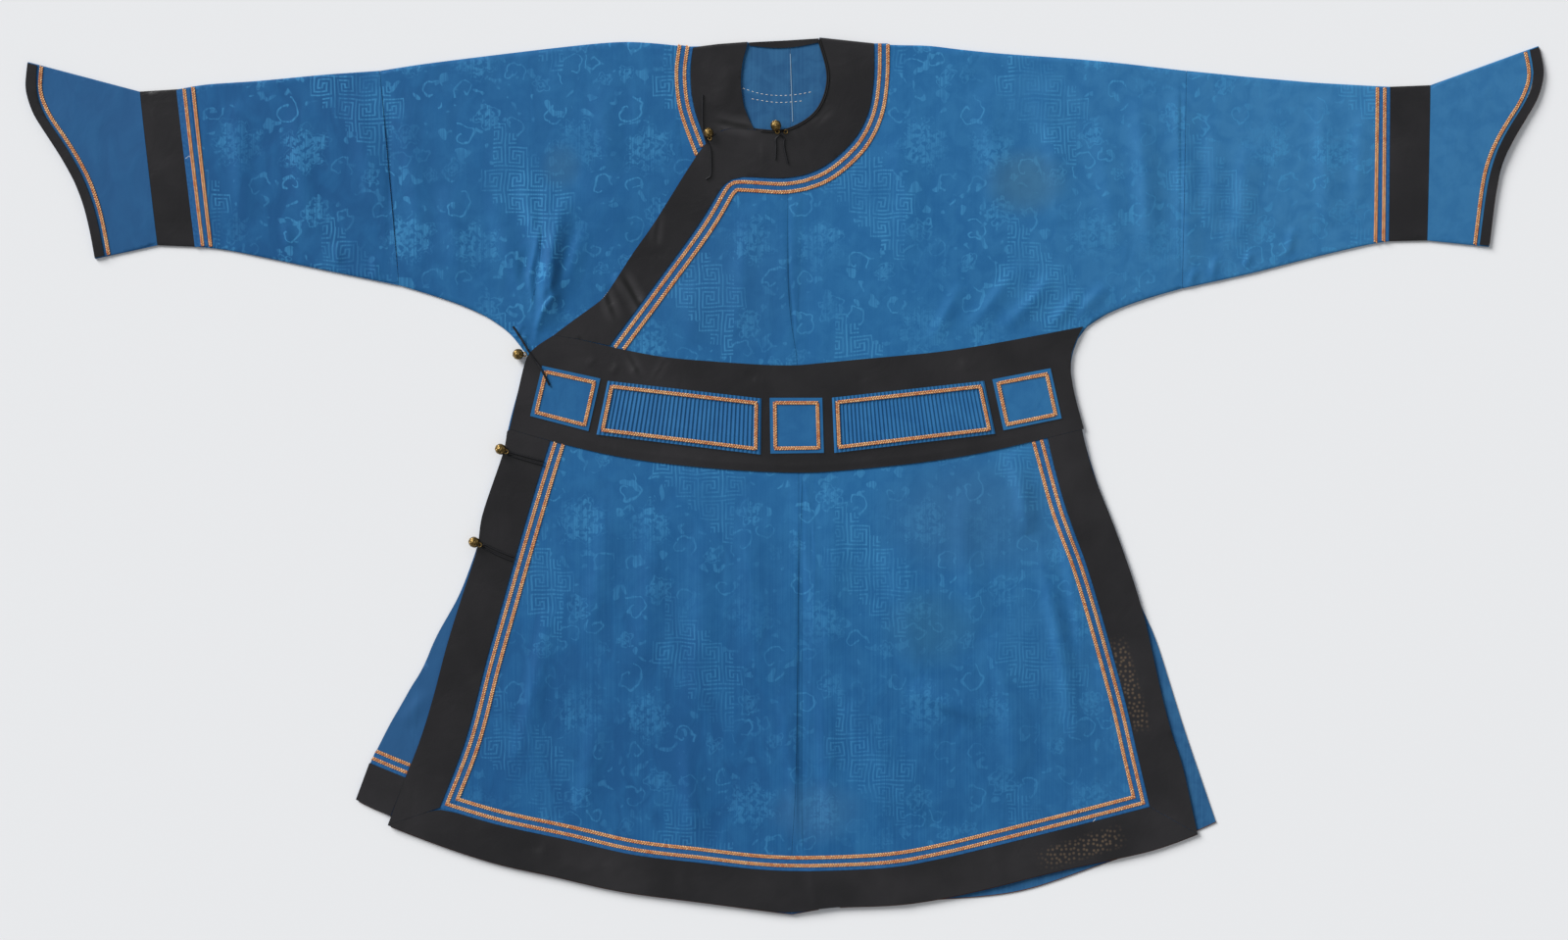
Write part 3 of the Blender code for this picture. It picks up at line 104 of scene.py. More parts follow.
# Each row: width, height, and the x and y of each point that it runs through, in tenths of a millimetre.
CREASES: dict[str, tuple[tuple[int, ...], ...]] = {
    "underarm right": (
        (110, 27, -3320, 3740, -3100, 3000, -2950, 2270),
        (98, 31, -3000, 3610, -2930, 2880, -3050, 1900),
        (110, 44, -2770, 3490, -2880, 2730, -3080, 1800),
        (98, 27, -2480, 3150, -2710, 2510, -3000, 1840),
        (147, 24, -2580, 3740, -2210, 3320, -1850, 2880),
        (110, 20, -3690, 3490, -3440, 2760, -3200, 2020),
        (147, 20, -4240, 3610, -4150, 3120, -4050, 2450),
        (147, 17, -2340, 4840, -2240, 4350, -2190, 3800),
    ),
    "sleeve right": (
        (147, 20, -6140, 4600, -6060, 3860, -5920, 3000),
        (147, 20, -5400, 4780, -5250, 4110, -5110, 3310),
        (123, 17, -6870, 4660, -6820, 3980, -6750, 3190),
        (147, 20, -4790, 4600, -4670, 3860, -4520, 2880),
    ),
    "sleeve left": (
        (135, 31, 4890, 4840, 4980, 3740, 5040, 2450),
        (147, 27, 4400, 4720, 4500, 3740, 4550, 2730),
        (135, 24, 5750, 4110, 5730, 3490, 5650, 2880),
        (135, 24, 6670, 4720, 6730, 3980, 6780, 3100),
        (123, 17, 5320, 4470, 5360, 3740, 5280, 3000),
        (98, 15, 7220, 4600, 7170, 3980, 7150, 3310),
        (147, 20, 3910, 4470, 4010, 3740, 4160, 2880),
    ),
    "above band left": (
        (98, 24, 3360, 2510, 3050, 2140, 2690, 1800),
        (98, 20, 2930, 2630, 2560, 2140, 2260, 1780),
        (86, 22, 3670, 2270, 3480, 2050, 3300, 1850),
        (86, 17, 2200, 2390, 2010, 2020, 1830, 1680),
        (86, 20, 4030, 2390, 3810, 2170, 3640, 1950),
    ),
    "chest left": (
        (172, 17, 1280, 4470, 1520, 3610, 1580, 2760),
        (172, 20, 2440, 4840, 2590, 4110, 2690, 3250),
        (147, 22, 3180, 4840, 3350, 4110, 3480, 3120),
    ),
    "chest overlap": (
        (135, 17, -440, 3370, -520, 2630, -600, 1720),
        (123, 14, -1230, 2390, -1160, 2020, -1140, 1630),
    ),
    "skirt left": (
        (123, 34, 2810, 280, 2960, -180, 3050, -740),
        (110, 31, 3360, 60, 3570, -1160, 3770, -2390),
        (123, 31, 3180, -920, 3400, -1900, 3640, -3370),
        (98, 20, 3670, -920, 3890, -2020, 4110, -3120),
        (123, 24, 170, 60, 260, -920, 420, -2020),
        (147, 20, 540, -180, 600, -1160, 550, -2270),
        (147, 31, 730, -2880, 1220, -3610, 1830, -4350),
        (135, 27, 1580, -2630, 1950, -2830, 2470, -3080),
        (172, 20, 1280, -920, 1520, -1650, 1650, -2510),
        (147, 20, 2200, -180, 2260, -1040, 2440, -1900),
        (147, 20, 2560, -2020, 2810, -2880, 2930, -3860),
        (110, 17, -10, -2630, 60, -3490, 170, -4600),
        (110, 17, 460, -2630, 510, -3610, 600, -4620),
    ),
    "skirt right": (
        (147, 20, -2210, -180, -2310, -1160, -2460, -2140),
        (159, 20, -1660, -430, -1680, -1410, -1850, -2510),
        (159, 20, -1050, -670, -1040, -1900, -1190, -3120),
        (147, 17, -470, -180, -430, -1410, -380, -2630),
        (123, 24, -2950, -1650, -3130, -2630, -3340, -3610),
        (123, 20, -1230, -3250, -1190, -3860, -1140, -4620),
        (123, 17, -2340, -3000, -2460, -3740, -2580, -4350),
    ),
    "inner skirt": (
        (110, 17, -4420, -2700, -4620, -2900, -4790, -3120),
    ),
    "hem": (
        (86, 20, 300, -4860, 360, -5150, 410, -5450),
        (110, 20, 1130, -4860, 1280, -5090, 1560, -5350),
        (98, 14, 2560, -4600, 2640, -4840, 2740, -5150),
        (98, 14, -1230, -4840, -1260, -5040, -1280, -5270),
        (98, 14, -2950, -4500, -3000, -4690, -3070, -4910),
    ),
    "sharp folds of the right underarm": (
        (42, 21, -2932, 2724, -2871, 2602, -2920, 2359, -2895, 2236, -3029, 2054, -3090, 1870, -3127, 1626),
        (42, 18, -3029, 3212, -3188, 2480, -3163, 2236, -3163, 1931),
        (60, -12, -3245, 2820, -3292, 2353),
        (80, -12, -2760, 2760, -2780, 2000),
        (36, 13, -3390, 1654, -3268, 1899),
        (36, 12, -3305, 1600, -3225, 1800),
    ),
    "the waistband's lower edge": (
        (40, 9, -3400, 650, -2890, 500, -1960, 290, -840, 160, 160, 110, 730, 140, 1710, 240, 2560,
         380, 3700, 650),
    ),
    "folds of the collar's slope": (
        (46, -26, -2040, 2520, -1940, 2360, -1810, 2170),
        (46, -20, -2230, 2380, -2160, 2120),
        (58, 24, -2129, 2518, -2060, 2330, -1965, 2144),
        (34, -13, -1620, 3080, -1590, 2880),
        (42, -10, -1777, 2765, -1450, 2741),
    ),
    "short creases of the waistband's satin": (
        (42, 13, -2470, 1360, -2350, 1460),
        (46, 15, -2160, 1240, -2075, 1400),
        (42, 12, -1900, 1240, -1840, 1380),
        (52, -11, -500, 1280, -360, 1190),
        (52, -9, 880, 1240, 1010, 1160),
        (46, 11, 2200, 1450, 2290, 1290),
    ),
    "seams sunk into the cloth": (
        (26, -9, 22, 3680, 28, 3517, 52, 2450, 150, 1385, 152, 1250),
        (26, -8, 178, 260, 178, -2400, 178, -5000),
        (28, -9, -4947, 5200, -4947, 3700, -4947, 2200),
        (28, -9, 4953, 5200, 4953, 3700, 4953, 2200),
    ),
    "short creases at the sleeves' lower edges": (
        (52, 16, 5130, 2600, 5040, 2340),
        (60, 15, 5390, 2760, 5330, 2440),
        (52, 13, 5820, 2800, 5740, 2580),
        (62, 15, 6350, 3100, 6280, 2740),
        (60, 14, -5150, 2750, -5100, 2440),
        (52, 14, -5620, 2900, -5560, 2640),
        (60, 13, -6240, 3150, -6190, 2820),
    ),
    "soft folds of the collar's and the hem's satin": (
        (70, 14, -1000, 4700, -750, 4560, -520, 4560),
        (80, 10, -1020, 5150, -850, 4900, -700, 4620),
        (40, 7, -280, 4180, -270, 3850),
        (40, -9, 400, 4440, 560, 4560),
        (80, 14, -2800, -4800, -2550, -4950, -2300, -4900),
        (60, -10, -3300, -4650, -3000, -4640),
        (80, 12, -2250, -4830, -2080, -5000),
        (50, -12, 4700, -4180, 4900, -4300),
    ),
    "inner collar's fold and the gathers by the neck": (
        (52, -12, -900, 4300, -740, 4400, -610, 4430, -380, 4330),
        (30, -12, -459, 4451, -318, 4333),
        (32, -6, 127, 4403, 385, 4480, 510, 4522),
        (100, 20, -740, 4591, -671, 5106),
        (34, 9, 100, 4330, 210, 4130),
        (34, 9, 200, 4370, 360, 4190),
    ),
}


@dataclass(frozen=True)
class Crease:
    """A soft ridge, or a trough where the height is negative, along a bent line.

    Attributes:
        line: points it runs through.
        width: distance from its crest to where it is about a third as high.
        height: its height at the crest.
    """

    line: Array
    width: float
    height: float

    LEAN = 0.21
    REACH = 3.0
    TAPER = 0.7

    @classmethod
    def of_row(cls, row: Sequence[int]) -> Crease:
        """The crease of a row of the table."""
        width, height, *line = (number / TENTHS for number in row)
        return cls(np.array(line).reshape(-1, 2), width, height)

    def relief(self, spots: Array) -> Array:
        """Heights that this crease adds.

        Args:
            spots: an (n, 2) array of positions.

        Returns:
            An array of n heights.
        """
        reach = self.REACH * self.width
        near = ((spots > self.line.min(0) - reach) & (spots < self.line.max(0) + reach)).all(axis=1)
        heights = np.zeros(len(spots))
        close = spots[near]
        lengths = np.linalg.norm(np.diff(self.line, axis=0), axis=1)
        starts = np.concatenate([[0.0], np.cumsum(lengths)])
        nearest = np.full(len(close), np.inf)
        side, share = np.zeros(len(close)), np.zeros(len(close))
        for index, length in enumerate(lengths):
            along = (self.line[index + 1] - self.line[index]) / length
            offset = close - self.line[index]
            travel = np.clip(offset @ along, 0.0, length)
            away = offset - travel[:, None] * along
            distance = np.linalg.norm(away, axis=1)
            closer = distance < nearest
            nearest[closer] = distance[closer]
            side[closer] = np.sign(along[0] * away[closer, 1] - along[1] * away[closer, 0])
            share[closer] = (starts[index] + travel[closer]) / starts[-1]
        width = self.width * (1.0 + self.LEAN * side)
        taper = np.sin(np.pi * np.clip(share, 0.0, 1.0)) ** self.TAPER
        heights[near] = self.height * np.exp(-((nearest / width) ** 2)) * taper
        return heights


class Relief:
    """The lie of the front cloth: placed creases and slow waves, the same for every layer above the back.

    It is worked out once, on a grid, and read between the grid's points.
    """

    WAVE_COUNT = 26
    WAVE_HEIGHT = 0.00016
    WAVE_LENGTHS = (0.035, 0.120)
    BACK_TOP = 0.00125
    FRONT_LOW = 0.00145
    SINK_DEPTH = 0.0042
    GRID_STEP = 0.002
    REACH = (0.965, 0.560)
    BEND_SPAN = 3

    def __init__(self) -> None:
        """Works out the heights and how far the middle of a short span stands off its ends."""
        across, upward = (np.arange(-reach, reach, self.GRID_STEP) for reach in self.REACH)
        spots = np.stack(np.meshgrid(across, upward), axis=-1).reshape(-1, 2)
        heights = self._waves(spots)
        for rows in CREASES.values():
            for row in rows:
                heights += Crease.of_row(row).relief(spots)
        self.heights = heights.reshape(len(upward), len(across))
        self.bends = np.zeros_like(self.heights)
        for axis in (0, 1):
            ahead, behind = (np.roll(self.heights, way * self.BEND_SPAN, axis) for way in (-1, 1))
            self.bends = np.maximum(self.bends, np.abs(ahead + behind - 2.0 * self.heights))

    def _waves(self, spots: Array) -> Array:
        """Heights of the cloth's slow uneven waves.

        Args:
            spots: an (n, 2) array of positions.

        Returns:
            An array of n heights.
        """
        chance = np.random.default_rng(7)
        angles = chance.uniform(0.0, math.pi, self.WAVE_COUNT)
        lengths = chance.uniform(*self.WAVE_LENGTHS, self.WAVE_COUNT)
        phases = chance.uniform(0.0, 2.0 * math.pi, self.WAVE_COUNT)
        total = np.zeros(len(spots))
        for angle, length, phase in zip(angles, lengths, phases):
            travel = spots[:, 0] * math.cos(angle) + spots[:, 1] * math.sin(angle)
            total += np.sin(travel * 2.0 * math.pi / length + phase)
        return total * self.WAVE_HEIGHT / math.sqrt(self.WAVE_COUNT)

    def _read(self, grid: Array, spots: Array) -> Array:
        """A grid's value at each position.

        Args:
            grid: heights or bends.
            spots: an (n, 2) array of positions.

        Returns:
            An array of n values.
        """
        place = np.clip((spots + self.REACH) / self.GRID_STEP, 0.0, np.array(grid.shape[::-1]) - 1.001)
        corner = place.astype(int)
        u, v = (place - corner).T
        x, y = corner.T
        low = grid[y, x] * (1.0 - u) + grid[y, x + 1] * u
        high = grid[y + 1, x] * (1.0 - u) + grid[y + 1, x + 1] * u
        return low * (1.0 - v) + high * v

    def at(self, spots: Array) -> Array:
        """Height added at each (x, y) of the front cloth."""
        return self._read(self.heights, spots)

    def bend(self, spots: Array) -> Array:
        """How sharply the cloth bends at each (x, y)."""
        return self._read(self.bends, spots)

    def lift(self, points: Array) -> Array:
        """Points moved with the front cloth; the back stays on the surface, and low layers sink less.

        Args:
            points: an (n, 3) array.

        Returns:
            The moved copy.
        """
        over = points[:, 2] - self.BACK_TOP
        height = self.at(points[:, :2])
        raised = np.clip(over / (self.FRONT_LOW - self.BACK_TOP), 0.0, 1.0)
        sunk = np.clip(over / self.SINK_DEPTH, 0.0, 1.0)
        moved = points.copy()
        moved[:, 2] += np.where(height < 0.0, sunk, raised) * height
        return moved


@dataclass(frozen=True)
class CellSize:
    """How fine a mesh is: small where the relief bends, large where it is even.

    Attributes:
        relief: the lie of the front cloth, or nothing for one size all over.
        fine: longest edge where the relief bends.
        coarse: longest edge elsewhere.
    """

    relief: Relief | None
    fine: float
    coarse: float

    BEND = 0.00024
    SHARP_BEND = 0.00075
    SHARP_SHARE = 0.55

    @classmethod
    def even(cls, length: float) -> CellSize:
        """One size all over."""
        return cls(None, length, length)

    def at(self, spots: Array) -> Array:
        """The longest edge wanted at each position.

        Args:
            spots: an (n, 2) array.

        Returns:
            An array of n lengths.
        """
        if self.relief is None:
            return np.full(len(spots), self.coarse)
        bend = self.relief.bend(spots)
        even = np.where(bend > self.BEND, self.fine, self.coarse)
        return np.where(bend > self.SHARP_BEND, self.SHARP_SHARE * self.fine, even)


@dataclass
class Web:
    """A triangle mesh held as arrays.

    Attributes:
        points: an (n, 3) array of corners.
        faces: an (m, 3) array of corner numbers.
    """

    points: Array
    faces: Array

    UNSEEN = 1.9
    SPLIT_ROUNDS = 12
    CARRY_ROUNDS = 24
    WALL_REACH = 0.006
    NEAREST = 0.00001
    NARROWEST = 0.0101
    FULL_SHARE = 0.4
    LEVEL = 0.9
    FACING = 0.3
    SMOOTH_TURN = math.radians(50.0)
    SPLITS = {
        1: ((0, 3, 2), (3, 1, 2)),
        2: ((3, 1, 4), (0, 3, 4), (0, 4, 2)),
        3: ((0, 3, 5), (3, 1, 4), (5, 4, 2), (3, 4, 5)),
    }

    @classmethod
    def of_node(cls, node: str) -> Web:
        """The triangles of a CAD node, with its split corners joined.

        Args:
            node: name of the CAD node.

        Returns:
            Its mesh.
        """
        mesh = bmesh.new()
        mesh.from_mesh(bpy.data.objects[node].data)
        bmesh.ops.remove_doubles(mesh, verts=mesh.verts, dist=1e-6)
        bmesh.ops.triangulate(mesh, faces=mesh.faces)
        mesh.verts.index_update()
        points = np.array([corner.co for corner in mesh.verts], float)
        faces = np.array([[corner.index for corner in face.verts] for face in mesh.faces], int)
        mesh.free()
        return cls(points, faces)

    def normals(self) -> Array:
        """Each face's normal, as long as twice its area."""
        corners = self.points[self.faces]
        return np.cross(corners[:, 1] - corners[:, 0], corners[:, 2] - corners[:, 0])

    def looking(self, way: float) -> Array:
        """Marks the faces that look up (1) or down (-1)."""
        normals = self.normals()
        return way * normals[:, 2] > self.FACING * np.linalg.norm(normals, axis=1)

    def cut(self, layers: int) -> tuple[float, float, float]:
        """The flat piece of cloth that this shell was cut from.

        Args:
            layers: 2 for a tube, which lies double, and otherwise 1.

        Returns:
            Its width, its length and its area. A narrow bent piece gives its run and its width.
        """
        heights = self.normals()[:, 2]
        area = float((heights / 2.0)[heights > 0.0].sum())
        spans = np.ptp(self.points[:, :2], axis=0)
        width, length = float(spans[1]) * layers, float(spans[0])
        if area < self.FULL_SHARE * width * length:
            pairs = np.sort(edges_of(self.faces[heights > 0.0]), axis=1)
            edges, uses = np.unique(pairs, axis=0, return_counts=True)
            ends = self.points[edges[uses == 1]][:, :, :2]
            half = float(np.linalg.norm(ends[:, 0] - ends[:, 1], axis=1).sum()) / 2.0
            length = (half + math.sqrt(max(0.0, half * half - 4.0 * area))) / 2.0
            width = max(area / length, self.NARROWEST)
        return width, length, min(area, width * length)

    def refine(self, size: CellSize) -> None:
        """Splits long edges until none is longer than the size wanted where it is.

        Args:
            size: gives the longest edge at each position.
        """
        for _ in range(self.SPLIT_ROUNDS):
            pairs = np.sort(edges_of(self.faces), axis=1)
            keys, place = np.unique(pairs[:, 0] * len(self.points) + pairs[:, 1], return_inverse=True)
            edges = np.stack([keys // len(self.points), keys % len(self.points)], axis=1)
            shown = np.zeros(len(keys), bool)
            shown[place[np.tile(self.normals()[:, 2] > 0.0, 3)]] = True
            middles = self.points[edges].mean(axis=1)
            lengths = np.linalg.norm(self.points[edges[:, 0]] - self.points[edges[:, 1]], axis=1)
            long = lengths > size.at(middles[:, :2]) * np.where(shown, 1.0, self.UNSEEN)
            if not long.any():
                return
            number = np.full(len(edges), -1)
            number[long] = len(self.points) + np.arange(long.sum())
            self.points = np.concatenate([self.points, middles[long]])
            self.faces = self._split(number[place.reshape(3, -1).T])

    def _split(self, middles: Array) -> Array:
        """Faces split at the middles of their marked edges.

        Args:
            middles: for each face, the corner in the middle of each edge, or -1.

        Returns:
            The new faces.
        """
        marked = middles >= 0
        count = marked.sum(axis=1)
        turn = np.zeros(len(self.faces), int)
        turn[count == 1] = marked[count == 1].argmax(axis=1)
        turn[count == 2] = ((~marked[count == 2]).argmax(axis=1) + 1) % 3
        order = (np.arange(3)[None, :] + turn[:, None]) % 3
        rows = np.arange(len(self.faces))[:, None]
        corners = np.concatenate([self.faces[rows, order], middles[rows, order]], axis=1)
        parts = [self.faces[count == 0]]
        for number, pattern in self.SPLITS.items():
            parts += [corners[count == number][:, list(picked)] for picked in pattern]
        return np.concatenate(parts)

    def _links(self, held: Array) -> tuple[Array, Array]:
        """The free points' neighbours.

        Args:
            held: marks the points that aren't free.

        Returns:
            Each free point with each of its neighbours, and how many each point has.
        """
        pairs = edges_of(self.faces)
        pairs = np.concatenate([pairs, pairs[:, ::-1]])
        pairs = pairs[~held[pairs[:, 0]]]
        return pairs, np.bincount(pairs[:, 0], minlength=len(self.points))

    def soften(self, rounds: int) -> None:
        """Evens out the heights of the flat skins, and leaves edges and turned sides as they are.

        Args:
            rounds: how often each height is drawn to its neighbours' mean.
        """
        normals = self.normals()
        level = np.abs(normals[:, 2]) > self.LEVEL * np.linalg.norm(normals, axis=1)
        held = np.zeros(len(self.points), bool)
        held[self.faces[~level].ravel()] = True
        pairs, count = self._links(held)
        free = ~held & (count > 0)
        for _ in range(rounds):
            total = np.bincount(pairs[:, 0], weights=self.points[pairs[:, 1], 2], minlength=len(self.points))
            self.points[free, 2] = total[free] / count[free]

    def round_outline(self, rounds: int) -> None:
        """Rounds off the slight corners of the upper outline, keeps the sharp ones, and takes the rest along.

        Args:
            rounds: how often each point is drawn to the middle of its neighbours.
        """
        start = self.points[:, :2].copy()
        rim, under = (self._rim(self.looking(way)) for way in (1.0, -1.0))
        before, after = (np.full(len(self.points), -1) for _ in range(2))
        after[rim[:, 0]] = rim[:, 1]
        before[rim[:, 1]] = rim[:, 0]
        spots = np.flatnonzero((before >= 0) & (after >= 0))
        flat = self.points[:, :2]
        came, goes = flat[spots] - flat[before[spots]], flat[after[spots]] - flat[spots]
        cross = came[:, 0] * goes[:, 1] - came[:, 1] * goes[:, 0]
        free = spots[np.abs(np.arctan2(cross, (came * goes).sum(axis=1))) < SHARP_TURN]
        for _ in range(rounds):
            middle = (flat[before[free]] + flat[after[free]]) / 2.0
            self.points[free, :2] += 0.5 * (middle - flat[free])
        above = np.unique(rim)
        below = np.setdiff1d(under, above)
        gaps = np.linalg.norm(start[below][:, None] - start[above][None], axis=2)
        beside = gaps.min(axis=1) < self.WALL_REACH
        weight = 1.0 / (gaps[beside] + self.NEAREST) ** 3
        drift = self.points[above, :2] - start[above]
        self.points[below[beside], :2] += (weight @ drift) / weight.sum(axis=1, keepdims=True)
        held = np.zeros(len(self.points), bool)
        held[above] = held[below] = True
        self._carry(start, held)

    def _rim(self, facing: Array) -> Array:
        """The outline of some of the faces.

        Args:
            facing: marks the faces.

        Returns:
            An (n, 2) array with the ends of each step round them.
        """
        steps = edges_of(self.faces[facing])
        keys, turned = (steps[:, one] * len(self.points) + steps[:, 1 - one] for one in (0, 1))
        return steps[~np.isin(keys, turned)]

    def _carry(self, start: Array, held: Array) -> None:
        """Moves the points within along with the outline.

        Args:
            start: where each point was, seen from above.
            held: marks the outline's points.
        """
        pairs, count = self._links(held)
        count = np.maximum(count, 1)
        drift = self.points[:, :2] - start
        for _ in range(self.CARRY_ROUNDS):
            for axis in (0, 1):
                total = np.bincount(pairs[:, 0], weights=drift[pairs[:, 1], axis], minlength=len(start))
                drift[~held, axis] = (total / count)[~held]
        self.points[:, :2] = start + drift

    @classmethod
    def tube(cls, path: Array, radius: float, sides: int = 8) -> Web:
        """A round cord along a path, closed at its ends.

        Args:
            path: an (n, 3) array.
            radius: half its thickness.
            sides: how many sides it has.

        Returns:
            The closed tube.
        """
        along = unit(np.gradient(path, axis=0))
        side = unit(np.cross(along, (0.0, 0.0, 1.0)), 1e-6)
        up = np.cross(side, along)
        spin = np.arange(sides) * 2.0 * math.pi / sides
        ring = side[:, None] * np.cos(spin)[None, :, None] + up[:, None] * np.sin(spin)[None, :, None]
        points = np.concatenate([(path[:, None] + radius * ring).reshape(-1, 3), path[[0, -1]]])
        row, turn = np.meshgrid(np.arange(len(path) - 1), np.arange(sides), indexing="ij")
        a, b = (row * sides + turn).ravel(), (row * sides + (turn + 1) % sides).ravel()
        last = (len(path) - 1) * sides
        turn, after = np.arange(sides), (np.arange(sides) + 1) % sides
        start, end = (np.full(sides, len(points) - back) for back in (2, 1))
        faces = [(a, a + sides, b + sides), (a, b + sides, b)]
        faces += [(turn, after, start), (last + after, last + turn, end)]
        return cls(points, np.concatenate([np.stack(corners, axis=1) for corners in faces]))

    @classmethod
    def joined(cls, webs: Sequence[Web]) -> Web:
        """Several meshes as one.

        Args:
            webs: the meshes.

        Returns:
            One mesh with all of them.
        """
        starts = np.cumsum([0] + [len(web.points) for web in webs[:-1]])
        faces = [web.faces + start for web, start in zip(webs, starts)]
        return cls(np.concatenate([web.points for web in webs]), np.concatenate(faces))

    def to_object(self, name: str, materials: Sequence[Material]) -> bpy.types.Object:
        """A smooth-shaded Blender object of this mesh, with nothing under the surface that it lies on.

        Args:
            name: name of the object.
            materials: its materials, in order.

        Returns:
            The object, in the scene's collection.
        """
        mesh = bpy.data.meshes.new(name)
        points = self.points.copy()
        points[:, 2] = np.maximum(points[:, 2], 0.0)
        mesh.from_pydata(points.tolist(), [], self.faces.tolist())
        for material in materials:
            mesh.materials.append(material)
        mesh.shade_smooth()
        mesh.set_sharp_from_angle(angle=self.SMOOTH_TURN)
        piece = bpy.data.objects.new(name, mesh)
        bpy.context.scene.collection.objects.link(piece)
        return piece


class Term:
    """A value inside a material's node tree, which takes part in formulas."""

    def __init__(self, graph: Graph, socket: Socket) -> None:
        """Wraps a node's output in its tree."""
        self.graph = graph
        self.socket = socket

    def _do(self, operation: str, *others: Term | float) -> Term:
        """The result of a Math node that this value goes into first."""
        return self.graph.math(operation, self, *others)

    def __add__(self, other: Term | float) -> Term:
        """Their sum."""
        return self._do("ADD", other)

    __radd__ = __add__

    def __sub__(self, other: Term | float) -> Term:
        """This value less the other one."""
        return self._do("SUBTRACT", other)

    def __rsub__(self, other: Term | float) -> Term:
        """The other value less this one."""
        return self.graph.math("SUBTRACT", other, self)

    def __mul__(self, other: Term | float) -> Term:
        """Their product."""
        return self._do("MULTIPLY", other)

    __rmul__ = __mul__

    def __truediv__(self, other: Term | float) -> Term:
        """This value over the other one."""
        return self._do("DIVIDE", other)

    def abs(self) -> Term:
        """The value without its sign."""
        return self._do("ABSOLUTE")

    def floor(self) -> Term:
        """The whole number below."""
        return self._do("FLOOR")

    def fract(self) -> Term:
        """The part after the whole number."""
        return self._do("FRACT")

    def sin(self) -> Term:
        """Its sine."""
        return self._do("SINE")

    def sign(self) -> Term:
        """Minus one or one."""
        return self._do("SIGN")

    def largest(self, other: Term | float) -> Term:
        """The larger of two values."""
        return self._do("MAXIMUM", other)

    def rising(self, low: float, high: float) -> Term:
        """Goes softly from 0 at low to 1 at high, or the other way where low is larger.

        Args:
            low: where it is 0.
            high: where it is 1.

        Returns:
            The smoothed share.
        """
        turned = low > high
        limits = {"Value": self, "From Min": min(low, high), "From Max": max(low, high)}
        node = self.graph.node("MapRange", {**limits, "To Min": float(turned), "To Max": float(not turned)})
        node.interpolation_type = "SMOOTHSTEP"
        return Term(self.graph, node.outputs["Result"])

    def folded(self, size: float) -> Term:
        """The distance from the middle of the cell that it falls in."""
        return ((self / size).fract() - 0.5) * size

    def stepped(self, size: float) -> Term:
        """The middle of the cell that it falls in."""
        return ((self / size).floor() + 0.5) * size


